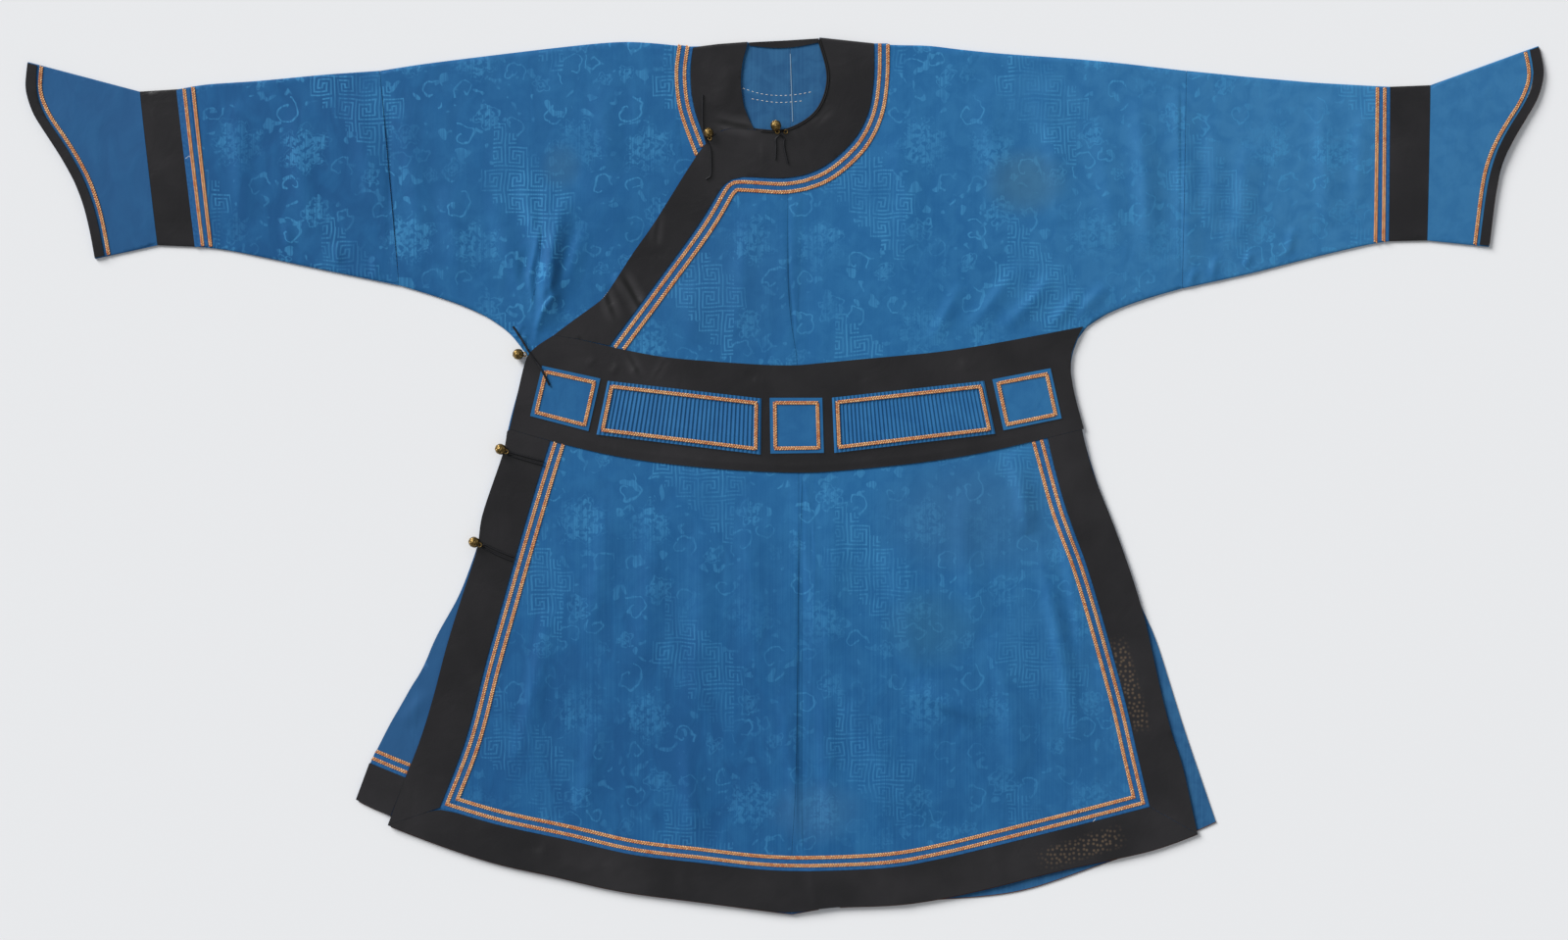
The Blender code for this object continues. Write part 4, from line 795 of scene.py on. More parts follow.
class Graph:
    """A material whose node tree is written as formulas."""

    CLOTH_GLOSS = 0.22
    METAL_GLOSS = 0.5
    SHEEN_ROUGHNESS = 0.4
    SCATTER = 0.6

    def __init__(self, name: str, roughness: float, metallic: float = 0.0, sheen: float = 0.0) -> None:
        """Starts a material with one Principled shader.

        Args:
            name: the material's name.
            roughness: its even roughness.
            metallic: 1 for metal.
            sheen: weight of the cloth's soft sheen.
        """
        self.material = bpy.data.materials.new(name)
        self.material.use_nodes = True
        self.tree = self.material.node_tree
        self.shader = self.tree.nodes["Principled BSDF"]
        self.set("Roughness", roughness)
        self.set("Metallic", metallic)
        self.set("Sheen Weight", sheen)
        self.set("Sheen Roughness", self.SHEEN_ROUGHNESS)
        self.set("Specular IOR Level", self.METAL_GLOSS if metallic else self.CLOTH_GLOSS)

    def set(self, inlet: str, value: Term | Socket | float | Sequence[float]) -> None:
        """Gives the shader a value, or links one to it."""
        self._feed(self.shader.inputs[inlet], value)

    def _feed(self, inlet: Socket, value: Term | Socket | float | Sequence[float]) -> None:
        """Links a term or an output to an input, or sets the input to a number, a vector or a colour.

        Args:
            inlet: the input.
            value: what goes in.
        """
        source = value.socket if isinstance(value, Term) else value
        if isinstance(source, Socket):
            self.tree.links.new(source, inlet)
        else:
            inlet.default_value = source

    def node(
        self, kind: str, feeds: dict[str | int, Term | Socket | float | Sequence[float]]
    ) -> bpy.types.Node:
        """A new shader node.

        Args:
            kind: the end of Blender's name for it.
            feeds: what goes into its inputs.

        Returns:
            The node.
        """
        node = self.tree.nodes.new(f"ShaderNode{kind}")
        for inlet, value in feeds.items():
            self._feed(node.inputs[inlet], value)
        return node

    def math(self, operation: str, *values: Term | float) -> Term:
        """One Math node.

        Args:
            operation: Blender's name for it.
            values: what goes in, in order.

        Returns:
            Its result.
        """
        node = self.node("Math", dict(enumerate(values)))
        node.operation = operation
        return Term(self, node.outputs[0])

    @cached_property
    def spot(self) -> Socket:
        """The position on the robe, in metres."""
        return self.node("TexCoord", {}).outputs["Object"]

    def place(self) -> tuple[Term, Term]:
        """The position's X and Y, in metres."""
        split = self.node("SeparateXYZ", {0: self.spot})
        return Term(self, split.outputs[0]), Term(self, split.outputs[1])

    def noise(self, scale: tuple[float, float, float], detail: float = 2.0, distortion: float = 0.0) -> Term:
        """Noise over the position, stretched by a scale along each axis.

        Args:
            scale: waves per metre along X, Y and Z.
            detail: how many finer layers are added.
            distortion: how far it is bent by itself.

        Returns:
            A value from 0 to 1, mostly near 0.5.
        """
        scaled = self.node("VectorMath", {0: self.spot, 1: scale})
        scaled.operation = "MULTIPLY"
        look = {"Scale": 1.0, "Detail": detail, "Distortion": distortion}
        return Term(self, self.node("TexNoise", {**look, "Vector": scaled.outputs[0]}).outputs["Fac"])

    def swayed(self, value: Term, scale: tuple[float, float, float], reach: float) -> Term:
        """A value pushed to and fro by noise of that scale, over a reach."""
        return value + (self.noise(scale, 1.0) - 0.5) * reach

    def cells(self, scale: float) -> Term:
        """Distance to the nearest of scattered points, in cells.

        Args:
            scale: cells per metre.

        Returns:
            The distance, 0 at a point.
        """
        node = self.node("TexVoronoi", {"Scale": scale, "Randomness": self.SCATTER, "Vector": self.spot})
        node.voronoi_dimensions = "2D"
        return Term(self, node.outputs["Distance"])

    def attribute(self, name: str) -> Term:
        """A value stored on the mesh.

        Args:
            name: the attribute's name.

        Returns:
            Its value.
        """
        node = self.node("Attribute", {})
        node.attribute_name = name
        return Term(self, node.outputs["Fac"])

    def mix(self, first: Colour | Socket, second: Colour, share: Term | float) -> Socket:
        """A colour between two.

        Args:
            first: the colour at share 0, or a socket that gives it.
            second: the colour at share 1.
            share: how far to go.

        Returns:
            The mixed colour's socket.
        """
        node = self.node("Mix", {})
        node.data_type = "RGBA"
        start, end = (socket for socket in node.inputs if socket.type == "RGBA")
        self._feed(start, (*first, 1.0) if isinstance(first, tuple) else first)
        self._feed(end, (*second, 1.0))
        self._feed(next(socket for socket in node.inputs if socket.type == "VALUE"), share)
        return next(socket for socket in node.outputs if socket.type == "RGBA")

    def bump(self, height: Term, depth: float, strength: float) -> None:
        """Bends the shading by a height.

        Args:
            height: the height, 0 to 1.
            depth: metres that 1 stands for.
            strength: share of the bend used.
        """
        node = self.node("Bump", {"Distance": depth, "Strength": strength, "Height": height})
        self.set("Normal", node.outputs["Normal"])


@dataclass(frozen=True)
class Flower:
    """A blossom of the woven figure, by its place in the repeat.

    Attributes:
        x: distance right of the repeat's middle.
        y: distance above it.
        radius: size of the bloom.
        petals: number of petals.
    """

    x: float
    y: float
    radius: float
    petals: int

    SMALL = 0.02

    def draw(self, u: Term, v: Term, blobs: Term) -> tuple[Term, Term]:
        """The blossom's uneven petals.

        Args:
            u: place across in the repeat.
            v: place up in the repeat.
            blobs: noise that makes it uneven.

        Returns:
            Its strength, and the ground that it covers.
        """
        across, up = u - self.x, v - self.y
        angle = u.graph.math("ARCTAN2", up, across)
        petals = (angle * (self.petals / 2.0)).sin().abs()
        rim = (petals * 0.36 + 0.66) * self.radius
        share = u.graph.math("SQRT", across * across + up * up) / rim + (blobs - 0.5) * 0.7
        count = 1.6 if self.radius < self.SMALL else 2.4
        rings = ((share * count).fract() - 0.5).abs().rising(0.30, 0.10)
        inside = share.rising(1.06, 0.92)
        return (rings * 0.75).largest(blobs.rising(0.46, 0.60) * 0.9) * inside, share.rising(1.25, 1.10)


@dataclass(frozen=True)
class Curl:
    """A tendril of the woven figure: one turn of a spiral.

    Attributes:
        x: distance right of the repeat's middle.
        y: distance above it.
        inner: radius at its inner end.
        outer: radius at its outer end.
        turn: direction of its gap, in degrees.
        hand: 1 where it winds out to the left, -1 to the right.
    """

    x: float
    y: float
    inner: float
    outer: float
    turn: float
    hand: float

    LINE = 0.0009

    def draw(self, u: Term, v: Term) -> Term:
        """The strength of the tendril's line.

        Args:
            u: place across in the repeat.
            v: place up in the repeat.

        Returns:
            0 off the line, 1 on it.
        """
        turn = math.radians(self.turn)
        across, up = u - self.x, v - self.y
        along = across * math.cos(turn) + up * math.sin(turn)
        aside = (up * math.cos(turn) - across * math.sin(turn)) * self.hand
        angle = u.graph.math("ARCTAN2", aside, along) / (2.0 * math.pi) + 0.5
        wanted = angle * (self.outer - self.inner) + self.inner
        radius = u.graph.math("SQRT", across * across + up * up)
        return (radius - wanted).abs().rising(self.LINE * 1.9, self.LINE * 0.7)


@dataclass(frozen=True)
class Figure:
    """The damask's figure: stepped patches of key fret, blossoms and tendrils, on a half-drop repeat.

    Attributes:
        repeat_x: width of the repeat.
        repeat_y: its height.
        stair: size of the patches' steps.
        patch: half the width of a patch.
        slant: how far a patch leans.
        fret_cell: size of one squared spiral.
        fret_pitch: distance between its lines.
        flowers: the blossoms.
        curls: the tendrils.
    """

    repeat_x: float = 0.214
    repeat_y: float = 0.236
    stair: float = 0.0144
    patch: float = 0.056
    slant: float = 0.42
    fret_cell: float = 0.0288
    fret_pitch: float = 0.0048
    flowers: tuple[Flower, ...] = (
        Flower(0.066, 0.060, 0.033, 7),
        Flower(-0.064, -0.066, 0.031, 6),
        Flower(-0.050, 0.092, 0.018, 5),
        Flower(0.062, -0.048, 0.017, 5),
        Flower(0.018, -0.100, 0.012, 5),
        Flower(-0.092, 0.030, 0.011, 5),
        Flower(0.094, -0.096, 0.010, 5),
    )
    curls: tuple[Curl, ...] = (
        Curl(0.031, 0.098, 0.003, 0.015, 200.0, 1.0),
        Curl(-0.020, 0.085, 0.004, 0.021, 20.0, -1.0),
        Curl(-0.083, 0.068, 0.003, 0.017, 300.0, 1.0),
        Curl(0.092, 0.006, 0.004, 0.023, 110.0, -1.0),
        Curl(0.056, -0.082, 0.004, 0.020, 60.0, 1.0),
        Curl(-0.020, -0.088, 0.003, 0.016, 150.0, -1.0),
        Curl(-0.090, -0.018, 0.004, 0.020, 250.0, 1.0),
        Curl(0.084, -0.070, 0.003, 0.012, 330.0, -1.0),
        Curl(-0.078, -0.108, 0.003, 0.013, 40.0, 1.0),
    )

    def draw(self, graph: Graph, x: Term, y: Term) -> Term:
        """The figure's strength at a position.

        Args:
            graph: the material it goes in.
            x: position across.
            y: position up the robe.

        Returns:
            0 on the ground weave, 1 on the figure.
        """
        x = graph.swayed(x, (22.0, 22.0, 2.0), 0.010)
        y = graph.swayed(y, (22.0, 22.0, 5.0), 0.010)
        column = (x / self.repeat_x).floor()
        u = x.folded(self.repeat_x)
        v = (y + (column * 0.5).fract() * self.repeat_y).folded(self.repeat_y)
        across, up = u.stepped(self.stair), v.stepped(self.stair)
        spread = (across + up * self.slant).abs() + up.abs() * 0.62
        patch = spread.rising(self.patch + 0.001, self.patch)
        fret = self._fret(u, v) * patch

        u = graph.swayed(u, (64.0, 64.0, 1.0), 0.016)
        v = graph.swayed(v, (64.0, 64.0, 9.0), 0.016)
        blobs = graph.noise((150.0, 150.0, 0.0), 1.0, 0.4)
        blooms: Term | float = 0.0
        tendrils: Term | float = 0.0
        covered = patch
        for flower in self.flowers:
            bloom, ground = flower.draw(u, v, blobs)
            blooms = bloom.largest(blooms)
            covered = ground.largest(covered)
        for curl in self.curls:
            tendrils = curl.draw(u, v).largest(tendrils)
        leaves = graph.noise((58.0, 58.0, 0.0), 1.0, 0.6).rising(0.63, 0.67)
        sprays = tendrils.largest(leaves * 0.8) * (1.0 - covered)
        return fret.largest(blooms).largest(sprays)

    def _fret(self, u: Term, v: Term) -> Term:
        """Squared spirals side by side, turned by turns, in thin lines.

        Args:
            u: place across in the repeat.
            v: place up in the repeat.

        Returns:
            0 between the lines, 1 on them.
        """
        cell_u, cell_v = (u / self.fret_cell).floor(), (v / self.fret_cell).floor()
        hand = ((cell_u + cell_v) * 0.5).fract() * 4.0 - 1.0
        s, t = u.folded(self.fret_cell) * hand, v.folded(self.fret_cell)
        turned = s + t.sign() * (self.fret_pitch * 0.5)
        spiral = turned.abs().largest(t.abs() * 1.02) / self.fret_pitch
        return (spiral.fract() - 0.5).abs().rising(0.30, 0.12)


@dataclass(frozen=True)
class Stain:
    """A soft discoloured spot.

    Attributes:
        x: its middle.
        y: its middle.
        half_width: how far it reaches across.
        half_height: how far it reaches up.
        colour: what it turns the cloth to.
        strength: how far.
    """

    x: float
    y: float
    half_width: float
    half_height: float
    colour: Colour
    strength: float


STAINS: tuple[Stain, ...] = (
    Stain(0.302, 0.367, 0.050, 0.042, (0.060, 0.158, 0.225), 0.42),
    Stain(-0.279, 0.386, 0.026, 0.030, (0.050, 0.155, 0.260), 0.32),
    Stain(0.183, -0.190, 0.060, 0.050, (0.030, 0.140, 0.240), 0.36),
    Stain(0.240, -0.050, 0.130, 0.080, (0.030, 0.112, 0.240), 0.46),
    Stain(-0.080, 0.240, 0.120, 0.090, (0.018, 0.100, 0.245), 0.30),
    Stain(0.040, -0.420, 0.060, 0.040, (0.070, 0.200, 0.360), 0.25),
)


class Finish(Enum):
    """What a piece is made of, with the record's slot for it."""

    DAMASK = "blue_damask"
    PLAIN = "blue_damask:plain"
    LINING = "blue_lining"
    SATIN = "black_satin"
    BRAID = "gold_braid"
    CORD = "black_cord"
    BRASS = "brass"

    @property
    def slot(self) -> str:
        """The record's material slot."""
        return self.value.split(":")[0]


class Dyehouse:
    """Makes each material once."""

    BLUE: Colour = (0.0085, 0.106, 0.282)
    PALE: Colour = (0.0200, 0.150, 0.345)
    FIGURE: Colour = (0.0400, 0.225, 0.455)
    # Blue with painted light, and blue with painted shade.
    PAINTED_LIGHT_BLUE: Colour = (0.0380, 0.185, 0.385)
    PAINTED_SHADE_BLUE: Colour = (0.0060, 0.078, 0.222)
    GREYED: Colour = (0.0200, 0.090, 0.215)
    EDGING: tuple[Colour, Colour] = ((0.0100, 0.082, 0.235), (0.018, 0.112, 0.285))
    LINING: tuple[Colour, Colour] = ((0.012, 0.076, 0.194), (0.029, 0.132, 0.280))
    BLACK: tuple[Colour, Colour] = ((0.0035, 0.0030, 0.0040), (0.0175, 0.0160, 0.0180))
    GOLD: tuple[Colour, Colour] = ((0.560, 0.185, 0.055), (0.880, 0.610, 0.310))
    BRASS: tuple[Colour, Colour] = ((0.040, 0.026, 0.010), (0.500, 0.330, 0.115))
    BROWN: tuple[Colour, Colour] = ((0.230, 0.070, 0.030), (0.400, 0.155, 0.070))
    SPECKS: Colour = (0.105, 0.072, 0.045)
    FIBRE: Colour = (0.400, 0.155, 0.060)
    # Colours of the painted shade in the satin's fold lines and of the painted highlight on their flanks.
    PAINTED_FOLD_SHADE: Colour = (0.0006, 0.0005, 0.0006)
    PAINTED_FOLD_HIGHLIGHT: Colour = (0.0380, 0.0360, 0.0390)
    SILK_SHEEN = 0.04
    SATIN_GLOSS = 0.54
    WORN: tuple[tuple[Point, Point, float], ...] = (
        ((0.412, -0.196), (0.449, -0.324), 0.014),
        ((0.312, -0.484), (0.428, -0.447), 0.017),
    )
    # Satin folds with painted shade and painted highlights: start, end, half width of the shaded core,
    # strength.
    PAINTED_FOLD_LINES: tuple[tuple[Point, Point, float, float], ...] = (
        ((-0.2026, 0.2480), (-0.1759, 0.2017), 0.0060, 0.90),
        ((-0.2257, 0.2303), (-0.2133, 0.1982), 0.0055, 0.75),
        ((-0.0830, 0.4424), (-0.0414, 0.4338), 0.0060, 0.85),
        ((-0.1581, 0.3226), (-0.1617, 0.2942), 0.0045, 0.55),
        ((-0.1937, 0.1484), (-0.1830, 0.1271), 0.0045, 0.55),
        ((-0.1510, 0.1413), (-0.1617, 0.1235), 0.0040, 0.45),
        ((0.0560, 0.4560), (0.0390, 0.4400), 0.0035, 0.50),
    )

    def __init__(self) -> None:
        """Builds the materials."""
        self.edging = self._edging()
        self.thread = self._thread()
        self.pale_thread = self._plain("pale_thread", (0.80, 0.76, 0.68), 0.8)
        self.seam = self._plain("seam_thread", (0.190, 0.290, 0.400), 0.8)
        self.brown_edge = self._plain("edge_cord", (0.085, 0.036, 0.024), 0.8)
        self.binding = self._plain("neck_binding", (0.0110, 0.0100, 0.0105), 0.75)
        self.made: dict[Finish, Material] = {
            Finish.DAMASK: self._blue("blue_damask", True),
            Finish.PLAIN: self._blue("blue_plain", False),
            Finish.LINING: self._lining(),
            Finish.SATIN: self._satin(),
            Finish.BRAID: self._braid(),
            Finish.CORD: self._plain("black_cord", (0.010, 0.010, 0.012), 0.55),
            Finish.BRASS: self._brass(),
        }

    def _plain(self, name: str, colour: Colour, roughness: float) -> Material:
        """A material of one even colour.

        Args:
            name: its name.
            colour: its colour.
            roughness: its roughness.

        Returns:
            The material.
        """
        graph = Graph(name, roughness)
        graph.set("Base Color", (*colour, 1.0))
        return graph.material

    def _edging(self) -> Material:
        """The bright blue tape under the double braids.

        Returns:
            The material.
        """
        graph = Graph("blue_edging", 0.7)
        tone = graph.noise((300.0, 300.0, 0.0), 1.0).rising(0.3, 0.7)
        graph.set("Base Color", graph.mix(*self.EDGING, tone))
        return graph.material

    def _thread(self) -> Material:
        """Dark red-brown ground thread of the braids.

        Returns:
            The material.
        """
        graph = Graph("braid_ground", 0.8)
        tone = graph.noise((260.0, 260.0, 0.0), 2.0).rising(0.35, 0.65)
        graph.set("Base Color", graph.mix(*self.BROWN, tone))
        return graph.material

    def _blue(self, name: str, figured: bool) -> Material:
        """Blue silk with warp streaks and stains, and painted light and painted shade over wide areas.

        Args:
            name: the material's name.
            figured: whether it has the woven figure; the plain one is greyer.

        Returns:
            The material.
        """
        graph = Graph(name, 0.66, sheen=self.SILK_SHEEN)
        x, y = graph.place()
        skirt = y.rising(0.05, -0.25)
        streaks = graph.noise((520.0, 5.0, 0.0), 2.0)
        slow = graph.noise((5.0, 5.0, 0.0), 3.0)
        grain = graph.noise((900.0, 900.0, 0.0), 1.0)
        mottle = graph.noise((46.0, 46.0, 0.0), 3.0, 0.5)
        crumple = graph.noise((34.0, 15.0, 3.0), 4.0, 0.9)
        # Paleness at random from noise, warp streaks, grain and mottle, lowered on the skirt as painted
        # shade.
        pale = slow.rising(0.30, 0.72) * 0.30 + streaks.rising(0.36, 0.70) * (skirt * 0.50 + 0.12)
        pale = pale + grain.rising(0.42, 0.72) * 0.22 + mottle.rising(0.36, 0.66) * 0.42 - skirt * 0.18
        ground = graph.mix(self.BLUE, self.PALE, pale)
        # Painted light: paler towards the wearer's left chest and sleeve.
        painted_light_share = x.rising(0.10, 0.66) * (mottle.rising(0.30, 0.70) * 0.35 + 0.42)
        ground = graph.mix(ground, self.PAINTED_LIGHT_BLUE, painted_light_share)
        # Painted shade: darker towards the lower skirt and the wearer's right, most on the right sleeve, and
        # darkest where the crumple noise is low, in the hollows of the bump that this noise raises.
        painted_shade_zones = y.rising(0.02, -0.34) * 0.50 + x.rising(0.12, -0.12) * 0.34 + x.rising(-0.36, -0.56) * 0.46
        ground = graph.mix(ground, self.PAINTED_SHADE_BLUE, painted_shade_zones * (crumple.rising(0.66, 0.36) * 0.60 + 0.55))
        height = grain * 0.4 + crumple * 9.0 + mottle * 3.0
        if figured:
            figure = Figure().draw(graph, x, y)
            worn = graph.noise((14.0, 14.0, 7.0), 2.0).rising(0.34, 0.60)
            threads = streaks.rising(0.34, 0.62) * 0.75 + 0.35
            strength = figure * (worn * 0.60 + 0.26) * (1.0 - skirt * 0.45) * threads
            ground = graph.mix(ground, self.FIGURE, strength)
            height = height + figure * 0.5
        else:
            greyed = x.rising(-0.62, -0.72) * 0.36 + y.rising(-0.02, -0.10) * 0.58 + 0.16
            ground = graph.mix(ground, self.GREYED, greyed)
        for stain in STAINS:
            across, up = (x - stain.x) / stain.half_width, (y - stain.y) / stain.half_height
            spread = across * across + up * up + slow * 0.9
            ground = graph.mix(ground, stain.colour, spread.rising(1.9, 0.2) * stain.strength)
        graph.set("Base Color", ground)
        graph.bump(height, 0.00012, 0.5)
        return graph.material

    def _lining(self) -> Material:
        """Plain blue silk of the back and the inside.

        Returns:
            The material.
        """
        graph = Graph("blue_lining", 0.72, sheen=self.SILK_SHEEN)
        streaks = graph.noise((420.0, 6.0, 0.0), 2.0)
        slow = graph.noise((7.0, 7.0, 0.0), 2.0)
        fine = graph.noise((60.0, 60.0, 2.0), 4.0, 0.6)
        pale = streaks.rising(0.35, 0.75) * 0.45 + slow.rising(0.3, 0.7) * 0.35
        pale = pale * 0.70 + fine.rising(0.36, 0.66) * 0.40
        graph.set("Base Color", graph.mix(*self.LINING, pale))
        graph.bump(streaks + fine * 6.0, 0.00010, 0.5)
        return graph.material

    def _satin(self) -> Material:
        """Black satin, uneven in tone, with tan specks where it is worn, and painted shade and painted
        highlights along its folds.

        Returns:
            The material.
        """
        graph = Graph("black_satin", 0.29)
        graph.set("Specular IOR Level", self.SATIN_GLOSS)
        x, y = graph.place()
        slow = graph.noise((16.0, 16.0, 0.0), 3.0)
        grain = graph.noise((1100.0, 1100.0, 0.0), 1.0)
        broad = graph.noise((5.0, 5.0, 0.0), 2.0, 0.5)
        crumple = graph.noise((26.0, 26.0, 5.0), 3.0, 0.8)
        tone = slow.rising(0.30, 0.75) * 0.40 + grain.rising(0.4, 0.7) * 0.30
        tone = tone + broad.rising(0.40, 0.68) * 0.40
        ground = graph.mix(*self.BLACK, tone)
        specks = graph.cells(175.0).rising(0.40, 0.14) * (slow.rising(0.30, 0.60) * 0.40 + 0.45)
        for first, last, half in self.WORN:
            travel, away, length = self._beside(x, y, first, last)
            ends = travel.rising(0.0, 0.03) * travel.rising(length, length - 0.02)
            ground = graph.mix(ground, self.SPECKS, away.rising(half, half * 0.4) * ends * specks)
        # Painted light along the satin's folds: a painted highlight on each fold's flanks and painted shade
        # in its core.
        for first, last, half, strength in self.PAINTED_FOLD_LINES:
            travel, away, length = self._beside(x, y, first, last)
            painted_fold_share = travel.rising(-0.012, 0.010) * travel.rising(length + 0.012, length - 0.010) * strength
            ground = graph.mix(ground, self.PAINTED_FOLD_HIGHLIGHT, away.rising(half * 2.8, half) * painted_fold_share * 0.6)
            ground = graph.mix(ground, self.PAINTED_FOLD_SHADE, away.rising(half, half * 0.1) * painted_fold_share)
        graph.set("Base Color", ground)
        graph.bump(grain + crumple * 22.0, 0.00010, 0.6)
        return graph.material

    @staticmethod
    def _beside(x: Term, y: Term, first: Point, last: Point) -> tuple[Term, Term, float]:
        """Where a place lies beside a straight line.

        Args:
            x: the place across the robe.
            y: the place along it.
            first: the line's start.
            last: its end.

        Returns:
            The way along the line, the distance from it, and the line's length.
        """
        run = Vector(last) - Vector(first)
        along = run.normalized()
        across, up = x - first[0], y - first[1]
        return across * along.x + up * along.y, (up * along.x - across * along.y).abs(), run.length

    def _braid(self) -> Material:
        """Orange-gold thread, each strand of its own shade.

        Returns:
            The material.
        """
        graph = Graph("gold_braid", 0.58)
        warm = graph.mix(*self.GOLD, graph.attribute("shade"))
        fine = graph.noise((1500.0, 1500.0, 0.0), 1.0).rising(0.35, 0.7)
        graph.set("Base Color", graph.mix(warm, self.FIBRE, fine * 0.40))
        return graph.material

    def _brass(self) -> Material:
        """Aged gilt brass, darker in its hollows.

        Returns:
            The material.
        """
        graph = Graph("aged_brass", 0.42, metallic=1.0)
        worn = graph.noise((700.0, 700.0, 700.0), 2.0)
        tone = worn.rising(0.36, 0.62) * 0.45 + graph.attribute("shade") * 0.60
        graph.set("Base Color", graph.mix(*self.BRASS, tone))
        graph.bump(worn, 0.0006, 0.9)
        return graph.material


@dataclass
class Wardrobe:
    """Keeps the dressed pieces, and puts each one in its node's place.

    Attributes:
        relief: the lie of the front cloth.
        dyes: the materials.
        made: the new pieces, by the node that they stand for.
        webs: the shells' meshes, by node.
    """

    relief: Relief
    dyes: Dyehouse
    made: dict[str, bpy.types.Object] = field(default_factory=dict)
    webs: dict[str, Web] = field(default_factory=dict)

    OUTLINE_STEP = 0.008
    HIDDEN_STEP = 0.012
    STIFF_ROUNDS = 5
    SOFT_ROUNDS = 8
    LAST_ROUNDS = 4
    ABOVE = 0.1
    FIRST_LEVEL = 0.001
    CALM_SPAN = 5
    DOWN = Vector((0.0, 0.0, -1.0))

    def attach(self, piece: bpy.types.Object, node: str | None = None) -> None:
        """Rides a piece on the robe.

        Args:
            piece: the new piece.
            node: the node that it stands for, if it stands for one.
        """
        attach(piece, BODY)
        if node:
            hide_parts(node)
            self.made[node] = piece
        LOG.info("%s: %d faces", piece.name, len(piece.data.polygons))

    def trim(self, web: Web, name: str, material: Material, finish: Finish) -> None:
        """Lifts a trim with the front cloth and attaches it.

        Args:
            web: its mesh, as it lies on flat cloth.
            name: its name.
            material: its material.
            finish: not used.
        """
        web.points = self.relief.lift(web.points)
        self.attach(web.to_object(name, [material]))

    def top(self, nodes: Sequence[str], spots: Array) -> Array:
        """Height of the cloth's top at each spot.

        Args:
            nodes: the cloths that may lie there.
            spots: an (n, 2) array.

        Returns:
            An array of n heights.
        """
        web = Web.joined([self.webs[node] for node in nodes])
        tree = BVHTree.FromPolygons(web.points.tolist(), web.faces.tolist())
        level = [self.FIRST_LEVEL]
        for x, y in spots:
            hit = tree.ray_cast(Vector((x, y, self.ABOVE)), self.DOWN)[0]
            level.append(hit.z if hit else level[-1])
        return np.array(level[1:])

    def on_top(self, nodes: Sequence[str], line: Sequence[Point], step: float, rise: float) -> Array:
        """A smooth path over the cloth through some points.

        Args:
            nodes: the cloths that it lies on.
            line: the points that it runs through.
            step: about how far apart its points are.
            rise: its height over the cloth.

        Returns:
            An (n, 3) array.
        """
        run = Run(np.column_stack([np.array(line, float), np.zeros(len(line))])).smoothed()
        spots = run.at(run.even(step))[0][:, :2]
        level = self.top(nodes, spots) + rise
        padded = np.pad(level, self.CALM_SPAN // 2, mode="edge")
        calm = np.convolve(padded, np.full(self.CALM_SPAN, 1.0 / self.CALM_SPAN), mode="valid")
        return np.column_stack([spots, np.maximum(level, calm)])

    def shell(
        self, node: str, finish: Finish, size: CellSize, rounds: int = 0, suffix: str = "cloth"
    ) -> None:
        """A finely split copy of a node's solid, softened and lifted with the front cloth.

        Args:
            node: the CAD node that it stands for.
            finish: what it is made of.
            size: how fine its mesh is.
            rounds: how strongly its folds' edges are rounded off.
            suffix: what its name ends with.
        """
        web = self.webs[node] = Web.of_node(node)
        web.refine(CellSize.even(self.HIDDEN_STEP if node.startswith("back") else self.OUTLINE_STEP))
        web.round_outline(self.STIFF_ROUNDS if "collar" in node else self.SOFT_ROUNDS)
        web.refine(size)
        web.soften(rounds)
        web.round_outline(self.LAST_ROUNDS)
        web.points = self.relief.lift(web.points)
        self.attach(web.to_object(f"{node}_{suffix}", [self.dyes.made[finish]]), node)

    def declare(
        self, node: str, layers: int = 1
    ) -> None:
        """Works out a shell's cut as a sheet, and does nothing more with it.

        Args:
            node: the CAD node of the shell.
            layers: 2 for a tube, which lies double.
        """
        width, length, area = Web.of_node(node).cut(layers)


